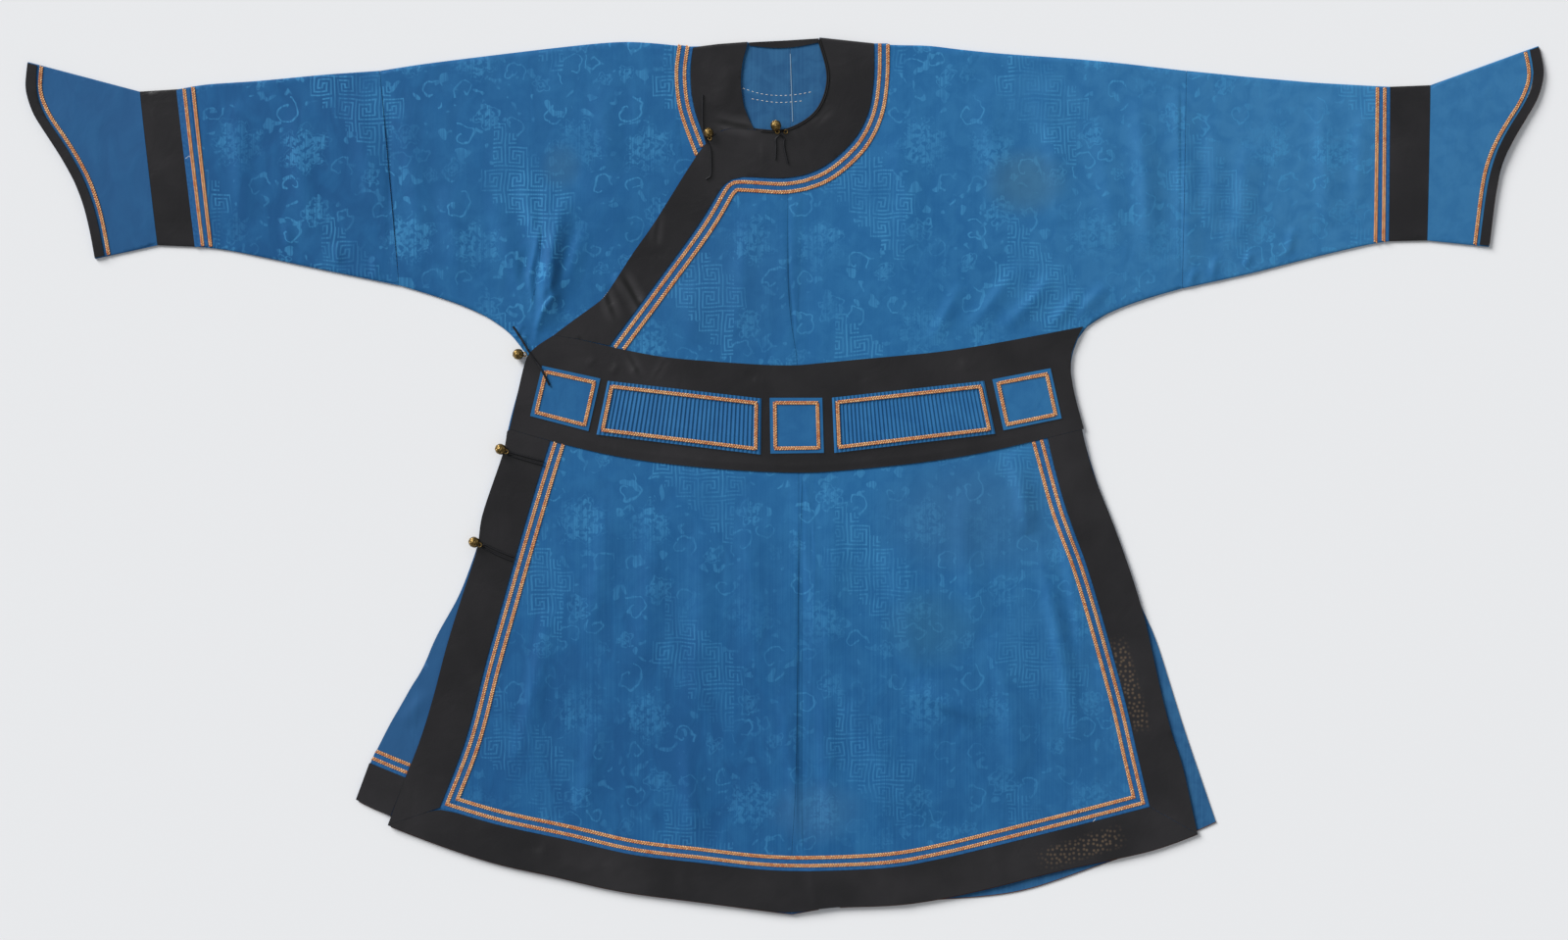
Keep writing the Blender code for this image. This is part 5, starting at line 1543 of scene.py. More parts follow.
@dataclass(frozen=True)
class Run:
    """The middle line of a narrow trim, with the height of its top.

    Attributes:
        points: an (n, 3) array, from one end to the other.
    """

    points: Array

    END_LENGTH = 0.009
    NO_END = -9.0
    FRAME_CORNER = math.radians(50.0)
    SMOOTH_ROUNDS = 3
    CORNER_ROOM = 0.25
    TIGHTEST = 0.5
    SHOULDER = 0.520
    OVER_FOLD = ((0.0024, 0.0001), (0.0034, 0.0008), (0.0041, 0.0022), (0.0043, 0.0034))

    @staticmethod
    def outlines(web: Web) -> list[Array]:
        """The closed outlines of the faces that look up, outer ones turning left.

        Args:
            web: the trim's mesh.

        Returns:
            One (k, 3) array for each outline.
        """
        taken = {(int(a), int(b)) for a, b in edges_of(web.faces[web.looking(1.0)])}
        after = {a: b for a, b in taken if (b, a) not in taken}
        loops = []
        while after:
            corner = next(iter(after))
            loop = []
            while corner in after:
                loop.append(corner)
                corner = after.pop(corner)
            loops.append(web.points[loop])
        return loops

    @staticmethod
    def _turns(ahead: Array) -> Array:
        """How far a closed outline turns to its left before each of its steps."""
        angles = np.arctan2(ahead[:, 1], ahead[:, 0])
        return wrapped(angles - np.roll(angles, 1))

    @classmethod
    def of_ribbon(cls, node: str) -> Run:
        """The run of an open ribbon, from its end with the lower x.

        Args:
            node: the CAD node of the ribbon.

        Returns:
            The run.
        """
        loop = cls.outlines(Web.of_node(node))[0]
        ahead = np.roll(loop, -1, axis=0) - loop
        turns = cls._turns(ahead)
        both = np.minimum(turns, np.roll(turns, -1))
        both[np.linalg.norm(ahead, axis=1) > cls.END_LENGTH] = cls.NO_END
        first, last = sorted(np.argsort(both)[-2:])
        one = loop[first + 1 : last + 1]
        other = np.concatenate([loop[last + 1 :], loop[: first + 1]])[::-1]
        less, more = sorted(
            (one, other), key=lambda side: np.linalg.norm(np.diff(side, axis=0), axis=1).sum()
        )
        middle = (more + cls.beside(more, less)) / 2.0
        return cls(middle if middle[0, 0] <= middle[-1, 0] else middle[::-1])

    @classmethod
    def of_frame(cls, node: str) -> list[Run]:
        """The sides of a four-cornered frame.

        Args:
            node: the CAD node of the frame.

        Returns:
            A run for each side.
        """
        outer, inner = sorted(cls.outlines(Web.of_node(node)), key=lambda loop: -np.ptp(loop[:, 0]))
        nearest = np.linalg.norm(outer[:, None] - inner[None], axis=2).argmin(axis=1)
        middle = (outer + inner[nearest]) / 2.0
        corners = np.flatnonzero(cls._turns(np.roll(middle, -1, axis=0) - middle) > cls.FRAME_CORNER)
        ring = np.concatenate([middle, middle])
        ends = [*corners, corners[0] + len(middle)]
        return [cls(ring[start : end + 1]) for start, end in zip(ends, ends[1:])]

    @staticmethod
    def beside(spots: Array, line: Array) -> Array:
        """The point of a line that is nearest to each spot, and its ends for the first and the last.

        Args:
            spots: an (n, 3) array.
            line: an (m, 3) array.

        Returns:
            An (n, 3) array.
        """
        steps = np.diff(line, axis=0)
        offsets = spots[:, None] - line[None, :-1]
        share = np.clip((offsets * steps).sum(axis=2) / (steps * steps).sum(axis=1), 0.0, 1.0)
        feet = line[None, :-1] + share[..., None] * steps
        best = np.linalg.norm(spots[:, None] - feet, axis=2).argmin(axis=1)
        found = feet[np.arange(len(spots)), best]
        found[[0, -1]] = line[[0, -1]]
        return found

    def over_shoulder(self) -> Run:
        """The same run, carried on over the shoulder's fold where it ends there.

        Returns:
            The longer run.
        """
        points = self.points
        for end, before in ((0, 1), (-1, -2)):
            if points[end, 1] > self.SHOULDER:
                ahead = points[end] - points[before]
                ahead /= np.linalg.norm(ahead)
                beyond = points[end] + [ahead * travel + (0.0, 0.0, -drop) for travel, drop in self.OVER_FOLD]
                points = np.concatenate((beyond[::-1], points) if end == 0 else (points, beyond))
        return Run(points)

    def smoothed(self) -> Run:
        """The same run with its slight bends rounded and its sharp corners kept.

        Returns:
            The smoother run.
        """
        points = self.points
        for _ in range(self.SMOOTH_ROUNDS):
            steps = np.diff(points[:, :2], axis=0)
            turns = wrapped(np.diff(np.arctan2(steps[:, 1], steps[:, 0])))
            rounded = [points[:1]]
            for index, turn in enumerate(turns, start=1):
                corner = points[index]
                if abs(turn) > SHARP_TURN:
                    rounded.append(corner[None])
                else:
                    rounded.append(np.stack([corner * 0.75 + points[index + way] * 0.25 for way in (-1, 1)]))
            points = np.concatenate([*rounded, points[-1:]])
        return Run(points)

    def lengths(self) -> Array:
        """Distance along the run to each of its points."""
        steps = np.linalg.norm(np.diff(self.points[:, :2], axis=0), axis=1)
        return np.concatenate([[0.0], np.cumsum(steps)])

    def at(self, travel: Array) -> tuple[Array, Array]:
        """Places on the run and its direction there.

        Args:
            travel: distances along the run.

        Returns:
            An (n, 3) array of places and an (n, 2) array of directions.
        """
        lengths = self.lengths()
        places = np.stack([np.interp(travel, lengths, self.points[:, axis]) for axis in range(3)], axis=1)
        part = np.clip(np.searchsorted(lengths, travel, side="right") - 1, 0, len(lengths) - 2)
        return places, unit(np.diff(self.points[:, :2], axis=0))[part]

    def even(self, step: float) -> Array:
        """Distances along the run, evenly spread, with each of its corners.

        Args:
            step: about how far apart they are.

        Returns:
            The sorted distances.
        """
        lengths = self.lengths()
        count = max(2, int(round(lengths[-1] / step)))
        spread = np.linspace(0.0, lengths[-1], count + 1)
        gaps = np.abs(spread[:, None] - lengths[None, 1:-1]).min(axis=1, initial=1.0)
        near = gaps < self.CORNER_ROOM * step
        near[[0, -1]] = False
        return np.sort(np.concatenate([spread[~near], lengths[1:-1]]))

    def strip(self, section: Sequence[Point], step: float) -> Web:
        """A strip with a given section along the run, with mitred bends.

        Args:
            section: sideways offset (left is positive) and height over the run of each point across.
            step: about how far apart its rows are.

        Returns:
            The open strip, facing up.
        """
        places, _ = self.at(self.even(step))
        steps = unit(np.diff(places[:, :2], axis=0))
        after = np.concatenate([steps, steps[-1:]])
        along = unit(np.concatenate([steps[:1], steps]) + after)
        left = left_of(along) * (1.0 / np.maximum((along * after).sum(axis=1), self.TIGHTEST))[:, None]
        count = len(places)
        rows = [places + np.column_stack([left * offset, np.full(count, rise)]) for offset, rise in section]
        across = len(section)
        base = (np.arange(count - 1)[:, None] * across + np.arange(across - 1)[None, :]).ravel()
        halves = ((base, base + across, base + across + 1), (base, base + across + 1, base + 1))
        faces = np.concatenate([np.stack(half, axis=1) for half in halves])
        if section[0][0] < section[-1][0]:
            faces = faces[:, ::-1]
        return Web(np.stack(rows, axis=1).reshape(-1, 3), faces)


@dataclass
class Plait:
    """The flat plaited braid: a dark ribbon under two rows of slanted strands.

    Attributes:
        half_width: half of the ribbon's width.
        period: distance from one strand to the next in its row.
        strand: length, width and height of a strand.
        slant: angle between a strand and the run.
        sink: how far the ribbon lies under the solid braid's top.
        drop: how far its edges turn down.
        chance: gives each strand its own turn, size and shade.
    """

    half_width: float = 0.0022
    period: float = 0.0031
    strand: tuple[float, float, float] = (0.0036, 0.0017, 0.0006)
    slant: float = math.radians(36.0)
    sink: float = 0.00045
    drop: float = 0.00055
    chance: np.random.Generator = field(default_factory=lambda: np.random.default_rng(11))

    FLAT_SHARE = 0.86
    ROW_SHARE = 0.52
    SEAT = 0.0001
    STEP = 0.006
    WOBBLE = 0.07
    SIZES = (0.90, 1.08)
    TONE = (0.55, 0.24)
    SIDES = 6
    SHOULDER = (0.62, 0.72)

    def build(self, robe: Wardrobe, node: str, runs: Sequence[Run]) -> None:
        """Makes a braid.

        Args:
            robe: keeps the pieces.
            node: the CAD node that it stands for.
            runs: the runs that it follows.
        """
        parts = [part for run in runs for part in (self._ribbon(run), self._strands(run))]
        webs, shades = zip(*parts)
        whole = Web.joined(webs)
        whole.points = robe.relief.lift(whole.points)
        piece = whole.to_object(f"{node}_plait", [robe.dyes.thread, robe.dyes.made[Finish.BRAID]])
        kinds = np.repeat(np.arange(len(webs)) % 2, [len(web.faces) for web in webs])
        piece.data.polygons.foreach_set("material_index", kinds.tolist())
        shade = piece.data.attributes.new("shade", "FLOAT", "POINT")
        shade.data.foreach_set("value", np.concatenate(shades).astype(np.float32))
        robe.attach(piece, node)

    def _ribbon(self, run: Run) -> tuple[Web, Array]:
        """The dark ribbon under the strands.

        Args:
            run: the run that it follows.

        Returns:
            Its mesh and the shade of each point.
        """
        edge, flat = self.half_width, self.half_width * self.FLAT_SHARE
        low, high = -self.sink - self.drop, -self.sink
        web = run.strip([(edge, low), (flat, high), (-flat, high), (-edge, low)], self.STEP)
        return web, np.zeros(len(web.points))

    def _leaf(self) -> tuple[Array, Array]:
        """One strand, as long, as wide and as high as 1.

        Returns:
            Its points and its faces.
        """
        share, height = self.SHOULDER
        spin = np.arange(self.SIDES) * 2.0 * math.pi / self.SIDES
        low = [(math.cos(a), math.sin(a), 0.0) for a in spin]
        high = [(share * math.cos(a), share * math.sin(a), height) for a in spin]
        ring = []
        for k in range(self.SIDES):
            n = (k + 1) % self.SIDES
            raised, follows = k + self.SIDES, n + self.SIDES
            ring += [(k, n, follows), (k, follows, raised), (raised, follows, 2 * self.SIDES)]
        return np.array([*low, *high, (0.0, 0.0, 1.0)]), np.array(ring)

    def _strands(self, run: Run) -> tuple[Web, Array]:
        """The two rows of strands.

        Args:
            run: the run that they follow.

        Returns:
            Their mesh and the shade of each point.
        """
        length, width, height = self.strand
        total = run.lengths()[-1]
        count = max(2, int(round(total / self.period)))
        travel = (np.arange(count) + 0.5) * total / count
        travel = np.concatenate([travel, travel - 0.5 * total / count])
        side = np.repeat([1.0, -1.0], count)
        places, along = run.at(np.clip(travel, 0.0, total))
        angle = (-side * self.slant + self.chance.normal(0.0, self.WOBBLE, 2 * count))[:, None]
        turned = along * np.cos(angle) + left_of(along) * np.sin(angle)
        centres = places[:, :2] + left_of(along) * (side * self.half_width * self.ROW_SHARE)[:, None]
        leaf, ring = self._leaf()
        size = self.chance.uniform(*self.SIZES, 2 * count)[:, None]
        u = leaf[None, :, 0] * length / 2.0 * size
        v = leaf[None, :, 1] * width / 2.0 * size
        flat = centres[:, None] + turned[:, None] * u[..., None] + left_of(turned)[:, None] * v[..., None]
        level = places[:, 2, None] - self.sink - self.SEAT + leaf[None, :, 2] * height * size
        points = np.concatenate([flat, level[..., None]], axis=2).reshape(-1, 3)
        faces = (ring[None] + len(leaf) * np.arange(2 * count)[:, None, None]).reshape(-1, 3)
        slow = np.sin(travel * 41.0 + points[0, 0] * 90.0) * 0.10
        shade = np.clip(self.chance.normal(*self.TONE, 2 * count) + slow + side * 0.10, 0.0, 1.0)
        return Web(points, faces), np.repeat(shade, len(leaf))


@dataclass
class Trimmings:
    """All braids, and the bright blue tape that the double ones are sewn on.

    Attributes:
        tape_black: how far the tape reaches from the outer braid's middle towards the black border.
        tape_field: how far it reaches towards the inner braid.
        tape_sink: how far it lies under the solid braid's top.
        tape_drop: how far its edges turn down.
    """

    tape_black: float = 0.0066
    tape_field: float = 0.0100
    tape_sink: float = 0.00085
    tape_drop: float = 0.0006

    STEP = 0.006
    DOUBLE: tuple[tuple[str, float], ...] = (
        ("collar_braid", 1.0),
        ("inner_collar_braid", 1.0),
        ("skirt_braid", -1.0),
        ("inner_hem_braid", -1.0),
        ("sleeve_right_braid", 1.0),
        ("sleeve_left_braid", -1.0),
    )

    def build(self, robe: Wardrobe) -> None:
        """Makes the braids and the tapes.

        Args:
            robe: keeps the pieces.
        """
        plait = Plait()
        for name, black_side in self.DOUBLE:
            for node in pair(name):
                run = Run.of_ribbon(node).smoothed().over_shoulder()
                plait.build(robe, node, [run])
                if node.endswith("outer"):
                    self._tape(robe, name, run, black_side)
        for side in SIDES:
            plait.build(robe, f"hoof_braid_{side}", [Run.of_ribbon(f"hoof_braid_{side}").smoothed()])
        for node in FRAMES:
            plait.build(robe, node, Run.of_frame(node))

    def _tape(self, robe: Wardrobe, name: str, run: Run, black_side: float) -> None:
        """The blue tape under two braids.

        Args:
            robe: keeps the pieces.
            name: the braids' name without the row.
            run: the outer braid's run.
            black_side: 1 where the black border lies on the run's left, and -1 on its right.
        """
        left, right = sorted((black_side * self.tape_black, -black_side * self.tape_field), reverse=True)
        low = -self.tape_sink - self.tape_drop
        flat = [(offset, -self.tape_sink) for offset in np.linspace(left, right, 4).tolist()]
        web = run.strip([(left, low), *flat, (right, low)], self.STEP)
        robe.trim(web, f"{name}_tape", robe.dyes.edging, Finish.PLAIN)


@dataclass
class Back:
    """The two halves of the back, lining side up where they show, and the neck's facing.

    Attributes:
        cell: longest edge of its mesh, which shows little.
        border_cell: longest edge of the facing's mesh.
    """

    cell: float = 0.020
    border_cell: float = 0.006

    def build(self, robe: Wardrobe) -> None:
        """Args:
            robe: keeps the pieces.
        """
        for side in SIDES:
            for node in (f"back_bodice_{side}", f"back_skirt_{side}"):
                robe.shell(node, Finish.LINING, CellSize.even(self.cell))
                robe.declare(node)
        robe.shell("back_neck_border", Finish.SATIN, CellSize.even(self.border_cell))
        robe.declare("back_neck_border")


@dataclass
class Panels:
    """How finely the wide panels' meshes are split.

    Attributes:
        fine: longest edge where a crease bends the cloth.
        coarse: longest edge elsewhere.
        rounds: how strongly the big folds' edges are rounded off.
    """

    fine: float = 0.0055
    coarse: float = 0.011
    rounds: int = 30


@dataclass
class Front(Panels):
    """The overlap, the left front and the inner front, above and below the waist."""

    LIES_ON: tuple[tuple[str, Finish, tuple[str, ...]], ...] = (
        ("front_bodice_left", Finish.DAMASK, ("back_bodice_left",)),
        ("inner_front_bodice", Finish.DAMASK, ("back_bodice_right",)),
        ("front_bodice_overlap", Finish.DAMASK, ("inner_front_bodice", "back_bodice_right")),
        ("inner_front_skirt", Finish.PLAIN, ("back_skirt_right",)),
        ("front_skirt_left", Finish.DAMASK, ("back_skirt_left",)),
        ("front_skirt_overlap", Finish.DAMASK, ("back_skirt_right", "inner_front_skirt")),
    )

    def build(self, robe: Wardrobe) -> None:
        """Args:
            robe: keeps the pieces.
        """
        size = CellSize(robe.relief, self.fine, self.coarse)
        for node, finish, _ in self.LIES_ON:
            robe.shell(node, finish, size, self.rounds)
        for node, _, below in self.LIES_ON:
            robe.declare(node)


@dataclass
class Sleeves(Panels):
    """Each sleeve: the figured sleeve, its black band and the flared cuff with its border."""

    TRIM_CELLS = (0.006, 0.008)

    def build(self, robe: Wardrobe) -> None:
        """Makes both sleeves' shells and works out their cuts.

        Args:
            robe: keeps the pieces.
        """
        size = CellSize(robe.relief, self.fine, self.coarse)
        trim = CellSize(robe.relief, *self.TRIM_CELLS)
        for side in SIDES:
            robe.shell(f"sleeve_{side}", Finish.DAMASK, size, self.rounds)
            robe.shell(f"hoof_cuff_{side}", Finish.PLAIN, size, self.rounds)
            robe.shell(f"sleeve_band_{side}", Finish.SATIN, trim)
            robe.shell(f"hoof_border_{side}", Finish.SATIN, trim)
            robe.declare(f"sleeve_{side}", 2)
            robe.declare(f"sleeve_band_{side}", 2)
            robe.declare(f"hoof_cuff_{side}", 2)
            robe.declare(f"hoof_border_{side}", 1)


@dataclass
class Borders:
    """The black borders of the neck opening, the skirt and the inner skirt's hem."""

    LIES_ON: tuple[tuple[str, tuple[str, ...], tuple[str, ...]], ...] = (
        ("inner_collar_border", ("inner_front_bodice",), pair("inner_collar_braid")),
        ("collar_border", ("front_bodice_left", "front_bodice_overlap"), pair("collar_braid")),
        ("inner_hem_border", ("inner_front_skirt",), pair("inner_hem_braid")),
        ("skirt_border_right", ("front_skirt_overlap",), ()),
        ("skirt_border_hem", ("front_skirt_overlap", "front_skirt_left"), pair("skirt_braid")),
        ("skirt_border_left", ("front_skirt_left",), ()),
    )
    STEP = 0.006
    FOLD_FROM = 0.531
    FOLD_SECTION: tuple[Point, ...] = (
        (0.0034, -0.0040), (0.0035, -0.0024), (0.0029, -0.0010), (0.0013, -0.0002), (-0.0015, 0.00005),
    )

    def build(self, robe: Wardrobe) -> None:
        """Args:
            robe: keeps the pieces.
        """
        for node, below, braids in self.LIES_ON:
            robe.shell(node, Finish.SATIN, CellSize(robe.relief, *BORDER_CELLS))
            robe.declare(node, 1)
        for node in ("inner_collar_border", "collar_border"):
            self._over_shoulder(robe, node)

    def _over_shoulder(self, robe: Wardrobe, node: str) -> None:
        """Carries a border's satin on over the shoulder's fold.

        Args:
            robe: keeps the pieces.
            node: the CAD node of the border.
        """
        corners = Run.outlines(Web.of_node(node))[0]
        ends = corners[corners[:, 1] > self.FOLD_FROM]
        web = Run(ends[np.argsort(ends[:, 0])]).strip(self.FOLD_SECTION, self.STEP)
        robe.trim(web, f"{node}_fold", robe.dyes.made[Finish.SATIN], Finish.SATIN)


@dataclass
class Waist:
    """The waistband with its squares and pleated panels; the braids that frame them are made with the other
    braids.
    """

    LIES_ON: tuple[str, ...] = (
        "front_bodice_left", "front_bodice_overlap", "front_skirt_left", "front_skirt_overlap",
    )
    PANELS: tuple[str, ...] = (
        "waist_square_right", "waist_square_middle", "waist_square_left",
        "waist_pleats_right", "waist_pleats_left",
    )

    def build(self, robe: Wardrobe) -> None:
        """Args:
            robe: keeps the pieces.
        """
        size = CellSize(robe.relief, *BORDER_CELLS)
        robe.shell("waistband", Finish.SATIN, size)
        robe.declare("waistband", 1)
        for node in self.PANELS:
            robe.shell(node, Finish.PLAIN, size)
            robe.declare(node)


@dataclass(frozen=True)
class BallButton:
    """An engraved brass ball with its shank.

    Attributes:
        node: the CAD node that it stands for.
        place: the ball's middle.
        shank: the direction of its shank.
        radius: the ball's radius.
    """

    node: str
    place: tuple[float, float, float]
    shank: tuple[float, float, float]
    radius: float = 0.00675

    ENGRAVING = 0.060
    PETALS = 5.0
    DEEPEST = -0.35
    BELT_WIDTH = 0.10
    BELT_DEPTH = 0.9
    SHANK_SHADE = 0.7
    RAISED = 1.2

    def build(self, robe: Wardrobe) -> None:
        """Makes the button.

        Args:
            robe: keeps the pieces.
        """
        bpy.ops.object.select_all(action="DESELECT")
        bpy.ops.mesh.primitive_uv_sphere_add(segments=60, ring_count=36, radius=self.radius)
        ball = bpy.context.object
        ball.name = f"{self.node}_ball"
        shades = []
        for corner in ball.data.vertices:
            rise = self._relief(corner.co / self.radius)
            shades.append(max(0.0, rise))
            corner.co *= 1.0 + self.ENGRAVING * rise
        bpy.ops.mesh.primitive_torus_add(
            major_radius=self.radius * 0.34,
            minor_radius=self.radius * 0.11,
            major_segments=28,
            minor_segments=10,
            location=(0.0, 0.0, self.radius * 1.16),
            rotation=(math.radians(90.0), 0.0, 0.0),
        )
        ball.select_set(True)
        bpy.context.view_layer.objects.active = ball
        bpy.ops.object.join()
        bpy.ops.object.transform_apply(location=True, rotation=True, scale=True)
        bpy.ops.object.shade_smooth()
        shades += [self.SHANK_SHADE] * (len(ball.data.vertices) - len(shades))
        ball.data.attributes.new("shade", "FLOAT", "POINT").data.foreach_set("value", shades)
        turn = Vector(self.shank).to_track_quat("Z", "Y").to_matrix().to_4x4()
        on_front = self.place[2] > self.radius * self.RAISED
        lift = robe.relief.at(np.array([self.place[:2]]))[0] if on_front else 0.0
        ball.data.transform(Matrix.Translation(Vector(self.place) + Vector((0.0, 0.0, lift))) @ turn)
        ball.data.materials.clear()
        ball.data.materials.append(robe.dyes.made[Finish.BRASS])
        robe.attach(ball, self.node)

    def _relief(self, way: Vector) -> float:
        """Height of the engraved flowers and the plain belt.

        Args:
            way: a direction from the ball's middle, of length 1.

        Returns:
            The height, from -1 to 1.
        """
        fall = math.acos(max(-1.0, min(1.0, way.z)))
        flowers = math.sin(self.PETALS * math.atan2(way.y, way.x)) * math.sin(self.PETALS * fall)
        belt = math.exp(-(((fall - math.pi / 2.0) / self.BELT_WIDTH) ** 2))
        return max(flowers, self.DEEPEST) * (1.0 - belt) - self.BELT_DEPTH * belt


@dataclass
class Fastenings:
    """The five ball buttons and their cord loops.

    Attributes:
        cell: longest edge of a loop's mesh.
    """

    cell: float = 0.004

    BUTTONS: tuple[BallButton, ...] = (
        BallButton("button_neck", (-0.0110, 0.4362, 0.0106), (0.25, -0.97, -0.35)),
        BallButton("button_collar", (-0.0950, 0.4272, 0.0106), (0.20, -0.98, 0.0), 0.0061),
        BallButton("button_waist", (-0.3327, 0.1512, 0.00675), (1.0, 0.0, 0.0)),
        BallButton("button_hip", (-0.3545, 0.0327, 0.0112), (0.92, -0.40, 0.0)),
        BallButton("button_skirt", (-0.3875, -0.0833, 0.0108), (0.90, -0.43, 0.0)),
    )

    def build(self, robe: Wardrobe) -> None:
        """Makes the buttons and dresses the loops.

        Args:
            robe: keeps the pieces.
        """
        for button in self.BUTTONS:
            button.build(robe)
            loop = button.node.replace("button", "loop")
            robe.shell(loop, Finish.CORD, CellSize.even(self.cell), suffix="cord")


@dataclass
class Needlework:
    """Small sewn details: the neck's rolled binding, stitches, the back's seam, edge cords and loose ends.

    Attributes:
        roll: radius of each of the binding's two rolls.
        stitch: length of a stitch.
        gap: distance between stitches.
        thread: radius of the sewing thread.
        seam: radius of the seam's ridge.
        edge: radius of the cord in the outer edges.
        ring: radius of the small ring by the neck button.
        step: about how far apart a path's points are.
    """

    roll: float = 0.0011
    stitch: float = 0.0034
    gap: float = 0.0026
    thread: float = 0.0003
    seam: float = 0.0006
    edge: float = 0.0007
    ring: float = 0.0023
    step: float = 0.004

    ROLL_SHIFTS = (-0.9, 0.9)
    ROLL_RISE = 0.4
    RING_WIRE = 0.34
    RING_TURNS = 25
    THREAD_SIDES = 6
    FACING = 0.5
    SHORTEST = 6
    RING_PLACE: Point = (0.0013, 0.4290)
    EDGES: tuple[tuple[str, Point], ...] = (
        ("front_skirt_left", (0.0, -1.0)),
        ("front_skirt_overlap", (0.0, -1.0)),
        ("inner_front_skirt", (0.0, -1.0)),
        ("back_skirt_right", (0.0, -1.0)),
        ("back_skirt_left", (0.6, -0.8)),
        ("sleeve_right", (0.0, -1.0)),
        ("sleeve_left", (0.0, -1.0)),
        ("hoof_cuff_right", (-1.0, 0.0)),
        ("hoof_cuff_left", (1.0, 0.0)),
    )
    LOOSE: tuple[tuple[tuple[str, ...], tuple[Point, ...]], ...] = (
        (("hoof_cuff_right", "sleeve_band_right"),
         ((-0.7484, 0.3958), (-0.7440, 0.3990), (-0.7405, 0.3962))),
        (("skirt_border_left", "front_skirt_left"),
         ((0.3883, -0.4289), (0.3850, -0.4330), (0.3860, -0.4390))),
        (("front_bodice_left",),
         ((0.0971, 0.0993), (0.1010, 0.0960), (0.1000, 0.0915))),
        (("front_bodice_overlap", "collar_border"),
         ((-0.1235, 0.4007), (-0.1200, 0.4050), (-0.1160, 0.4040))),
    )
    NECK: tuple[Point, ...] = (
        (-0.038, 0.432), (-0.027, 0.430), (-0.011, 0.429), (0.0045, 0.431), (0.027, 0.442), (0.043, 0.457),
        (0.053, 0.480), (0.055, 0.506), (0.043, 0.544),
    )
    TACKING: tuple[tuple[Point, ...], ...] = (
        ((-0.0529, 0.4840), (-0.0316, 0.4767), (-0.0083, 0.4742), (0.0150, 0.4755), (0.0383, 0.4804)),
        ((-0.0414, 0.4706), (-0.0083, 0.4649), (0.0268, 0.4685)),
    )
    BACK_SEAM: tuple[Point, ...] = ((0.0070, 0.5270), (0.0085, 0.4830), (0.0100, 0.4420))

    def build(self, robe: Wardrobe) -> None:
        """Makes the small details, each kind as one piece.

        Args:
            robe: keeps the pieces.
        """
        dyes = robe.dyes
        seam = Web.tube(robe.on_top(BACKS, self.BACK_SEAM, self.step, 0.0), self.seam)
        details = (
            ("neck_binding", self._binding(robe), dyes.binding, Finish.SATIN),
            ("back_tacking", self._tacking(robe), dyes.pale_thread, Finish.LINING),
            ("neck_ring", [self._ring(robe)], dyes.made[Finish.BRASS], Finish.BRASS),
            ("back_seam", [seam], dyes.seam, Finish.LINING),
            ("loose_threads", self._threads(robe), dyes.pale_thread, Finish.DAMASK),
            ("edge_cords", self._edges(robe), dyes.brown_edge, Finish.CORD),
        )
        for name, webs, material, finish in details:
            robe.attach(Web.joined(webs).to_object(name, [material]))

    def _binding(self, robe: Wardrobe) -> list[Web]:
        """The neck's binding.

        Args:
            robe: keeps the pieces.

        Returns:
            Its two rolls.
        """
        rolls = []
        for shift in self.ROLL_SHIFTS:
            path = robe.on_top(("collar_border",), self.NECK, self.step, self.roll * self.ROLL_RISE)
            path[:, :2] += left_of(unit(np.gradient(path[:, :2], axis=0))) * shift * self.roll
            rolls.append(Web.tube(path, self.roll))
        return rolls

    def _tacking(self, robe: Wardrobe) -> list[Web]:
        """The stitches inside the back.

        Args:
            robe: keeps the pieces.

        Returns:
            The stitches.
        """
        stitches = []
        for row in self.TACKING:
            path = Run(robe.on_top(BACKS, row, self.step, self.thread * 0.5))
            for start in np.arange(0.0, path.lengths()[-1] - self.stitch, self.stitch + self.gap):
                places, _ = path.at(np.linspace(start, start + self.stitch, 5))
                places[[0, -1], 2] -= self.thread * 2.0
                stitches.append(Web.tube(places, self.thread, self.THREAD_SIDES))
        return stitches

    def _ring(self, robe: Wardrobe) -> Web:
        """The small ring by the neck button.

        Args:
            robe: keeps the pieces.

        Returns:
            Its mesh.
        """
        turns = np.linspace(0.0, 2.0 * math.pi, self.RING_TURNS)
        ring = np.stack([np.cos(turns), np.sin(turns), np.zeros(len(turns))], axis=1) * self.ring
        level = robe.top(("collar_border",), np.array([self.RING_PLACE]))[0] + self.roll
        return Web.tube(ring + (*self.RING_PLACE, level), self.ring * self.RING_WIRE)

    def _threads(self, robe: Wardrobe) -> list[Web]:
        """The loose thread ends on the front.

        Args:
            robe: keeps the pieces.

        Returns:
            The threads.
        """
        paths = [robe.on_top(nodes, line, self.step / 2.0, self.thread) for nodes, line in self.LOOSE]
        return [Web.tube(path, self.thread, self.THREAD_SIDES) for path in paths]

    def _edges(self, robe: Wardrobe) -> list[Web]:
        """The thin brown cord in which the outer edges end.

        Args:
            robe: keeps the pieces.

        Returns:
            The cords.
        """
        cords = []
        for node, side in self.EDGES:
            loop = Run.outlines(robe.webs[node])[0]
            out = unit(-left_of(np.roll(loop, -1, axis=0) - np.roll(loop, 1, axis=0)))
            facing = out @ np.array(side) > self.FACING
            start = int(np.flatnonzero(~facing)[0])
            loop, facing, out = (np.roll(values, -start, axis=0) for values in (loop, facing, out))
            parts = np.split(np.arange(len(loop)), np.flatnonzero(np.diff(facing.astype(int))) + 1)
            for part in parts:
                if facing[part[0]] and len(part) > self.SHORTEST:
                    path = loop[part].copy()
                    path[:, :2] += out[part] * self.edge * 0.5
                    path[:, 2] = np.maximum(path[:, 2] - self.edge, self.edge)
                    cords.append(Web.tube(path, self.edge, self.THREAD_SIDES))
        return cords


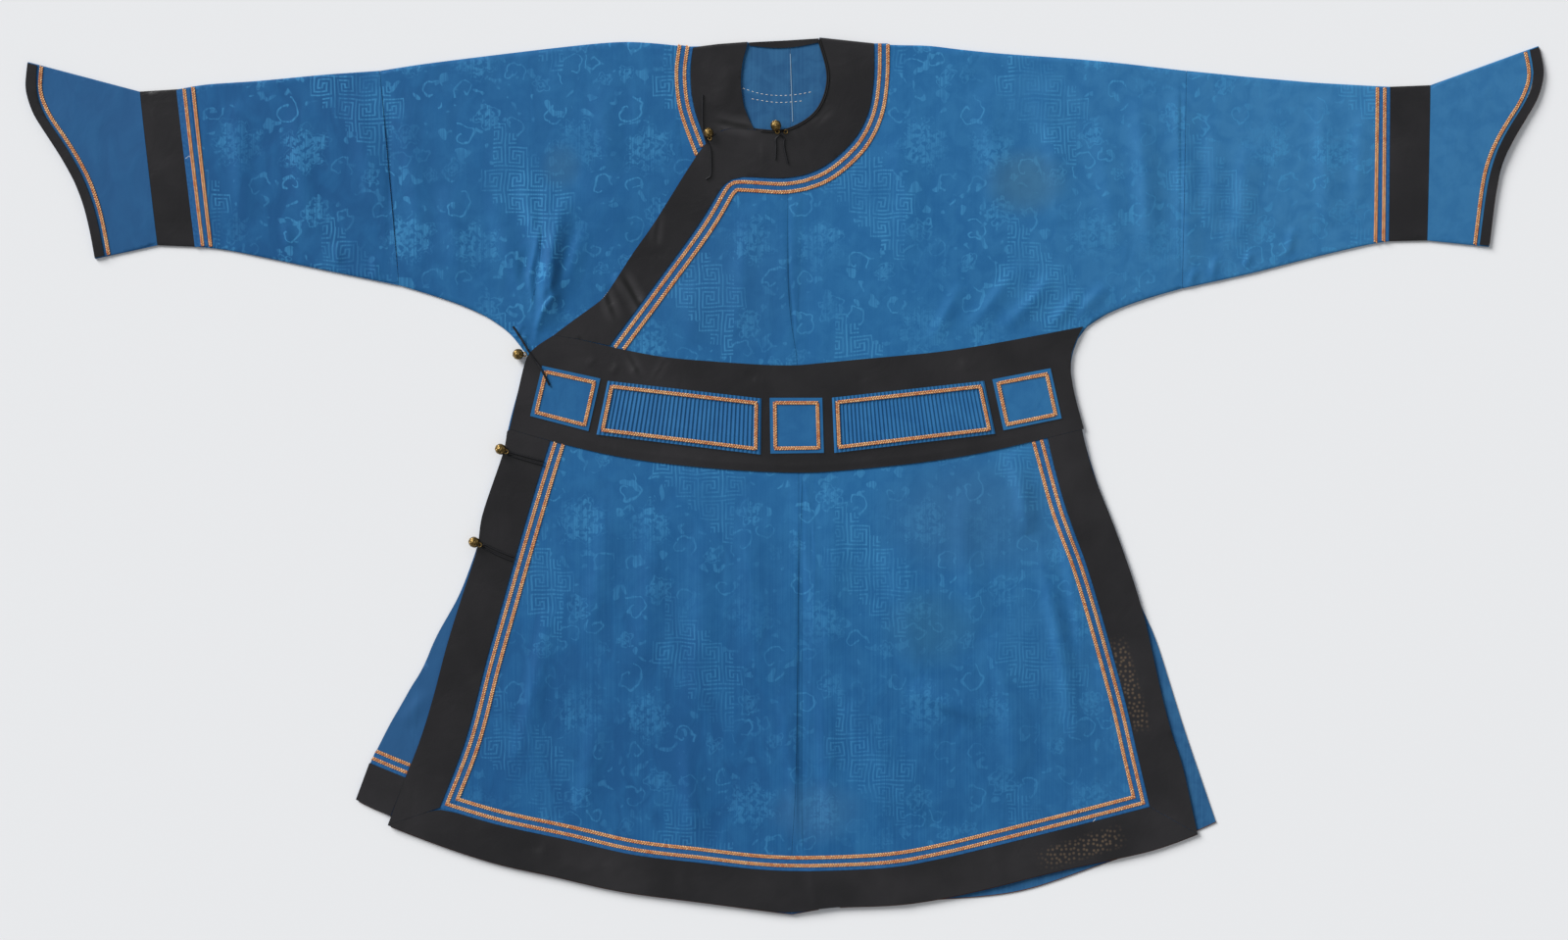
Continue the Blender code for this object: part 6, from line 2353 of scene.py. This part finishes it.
@dataclass
class Studio:
    """The pale floor, the soft light and the camera above.

    Attributes:
        floor_level: just under the cloth.
        floor_span: side of the floor.
        floor_colour: its colour.
        height: the camera's height above the floor.
        aim: the point that it looks down at.
        lens: its focal length in millimetres.
        sensor: width of its sensor in millimetres.
        air: strength of the even light from all round.
        air_colour: its colour.
        key: strength of the light from one side.
        key_softness: how wide that light is, in degrees.
        key_from: the direction that it comes from.
    """

    floor_level: float = -0.0003
    floor_span: float = 12.0
    floor_colour: Colour = (0.815, 0.820, 0.832)
    height: float = 4.629
    aim: Point = (-0.0009, 0.0067)
    lens: float = 85.0
    sensor: float = 36.0
    air: float = 0.38
    air_colour: Colour = (0.96, 0.98, 1.0)
    key: float = 4.3
    key_softness: float = 30.0
    key_from: tuple[float, float, float] = (-0.62, 0.60, 0.44)

    def build(self) -> None:
        """Sets up the floor, the lights and the camera."""
        self._floor()
        self._lights()
        self._camera()

    def _floor(self) -> None:
        """Lays the paper that the robe lies on."""
        bpy.ops.object.select_all(action="DESELECT")
        bpy.ops.mesh.primitive_plane_add(size=self.floor_span, location=(0.0, 0.0, self.floor_level))
        floor = bpy.context.object
        floor.name = "floor"
        graph = Graph("floor_paper", 0.9)
        graph.set("Base Color", (*self.floor_colour, 1.0))
        floor.data.materials.append(graph.material)

    def _lights(self) -> None:
        """Sets the light from all round and from one side."""
        world = bpy.data.worlds.new("studio_air")
        world.use_nodes = True
        air = world.node_tree.nodes["Background"].inputs
        air["Color"].default_value = (*self.air_colour, 1.0)
        air["Strength"].default_value = self.air
        bpy.context.scene.world = world
        bpy.context.scene.view_settings.view_transform = "Standard"
        key = bpy.data.lights.new("key_light", "SUN")
        key.energy = self.key
        key.angle = math.radians(self.key_softness)
        lamp = bpy.data.objects.new("key_light", key)
        lamp.rotation_euler = (-Vector(self.key_from)).to_track_quat("-Z", "Y").to_euler()
        bpy.context.scene.collection.objects.link(lamp)

    def _camera(self) -> None:
        """Hangs the camera straight above the robe."""
        lens = bpy.data.cameras.new("camera")
        lens.lens = self.lens
        lens.sensor_width = self.sensor
        camera = bpy.data.objects.new("camera", lens)
        camera.location = (*self.aim, self.height)
        bpy.context.scene.collection.objects.link(camera)
        bpy.context.scene.camera = camera


def main() -> None:
    """Builds the robe's looks round the frame, and logs how many faces each new piece has."""
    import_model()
    Studio().build()
    robe = Wardrobe(Relief(), Dyehouse())
    for assembly in (Trimmings(), Back(), Front(), Sleeves(), Borders(), Waist(), Fastenings(), Needlework()):
        assembly.build(robe)


if __name__ == "__main__":
    main()
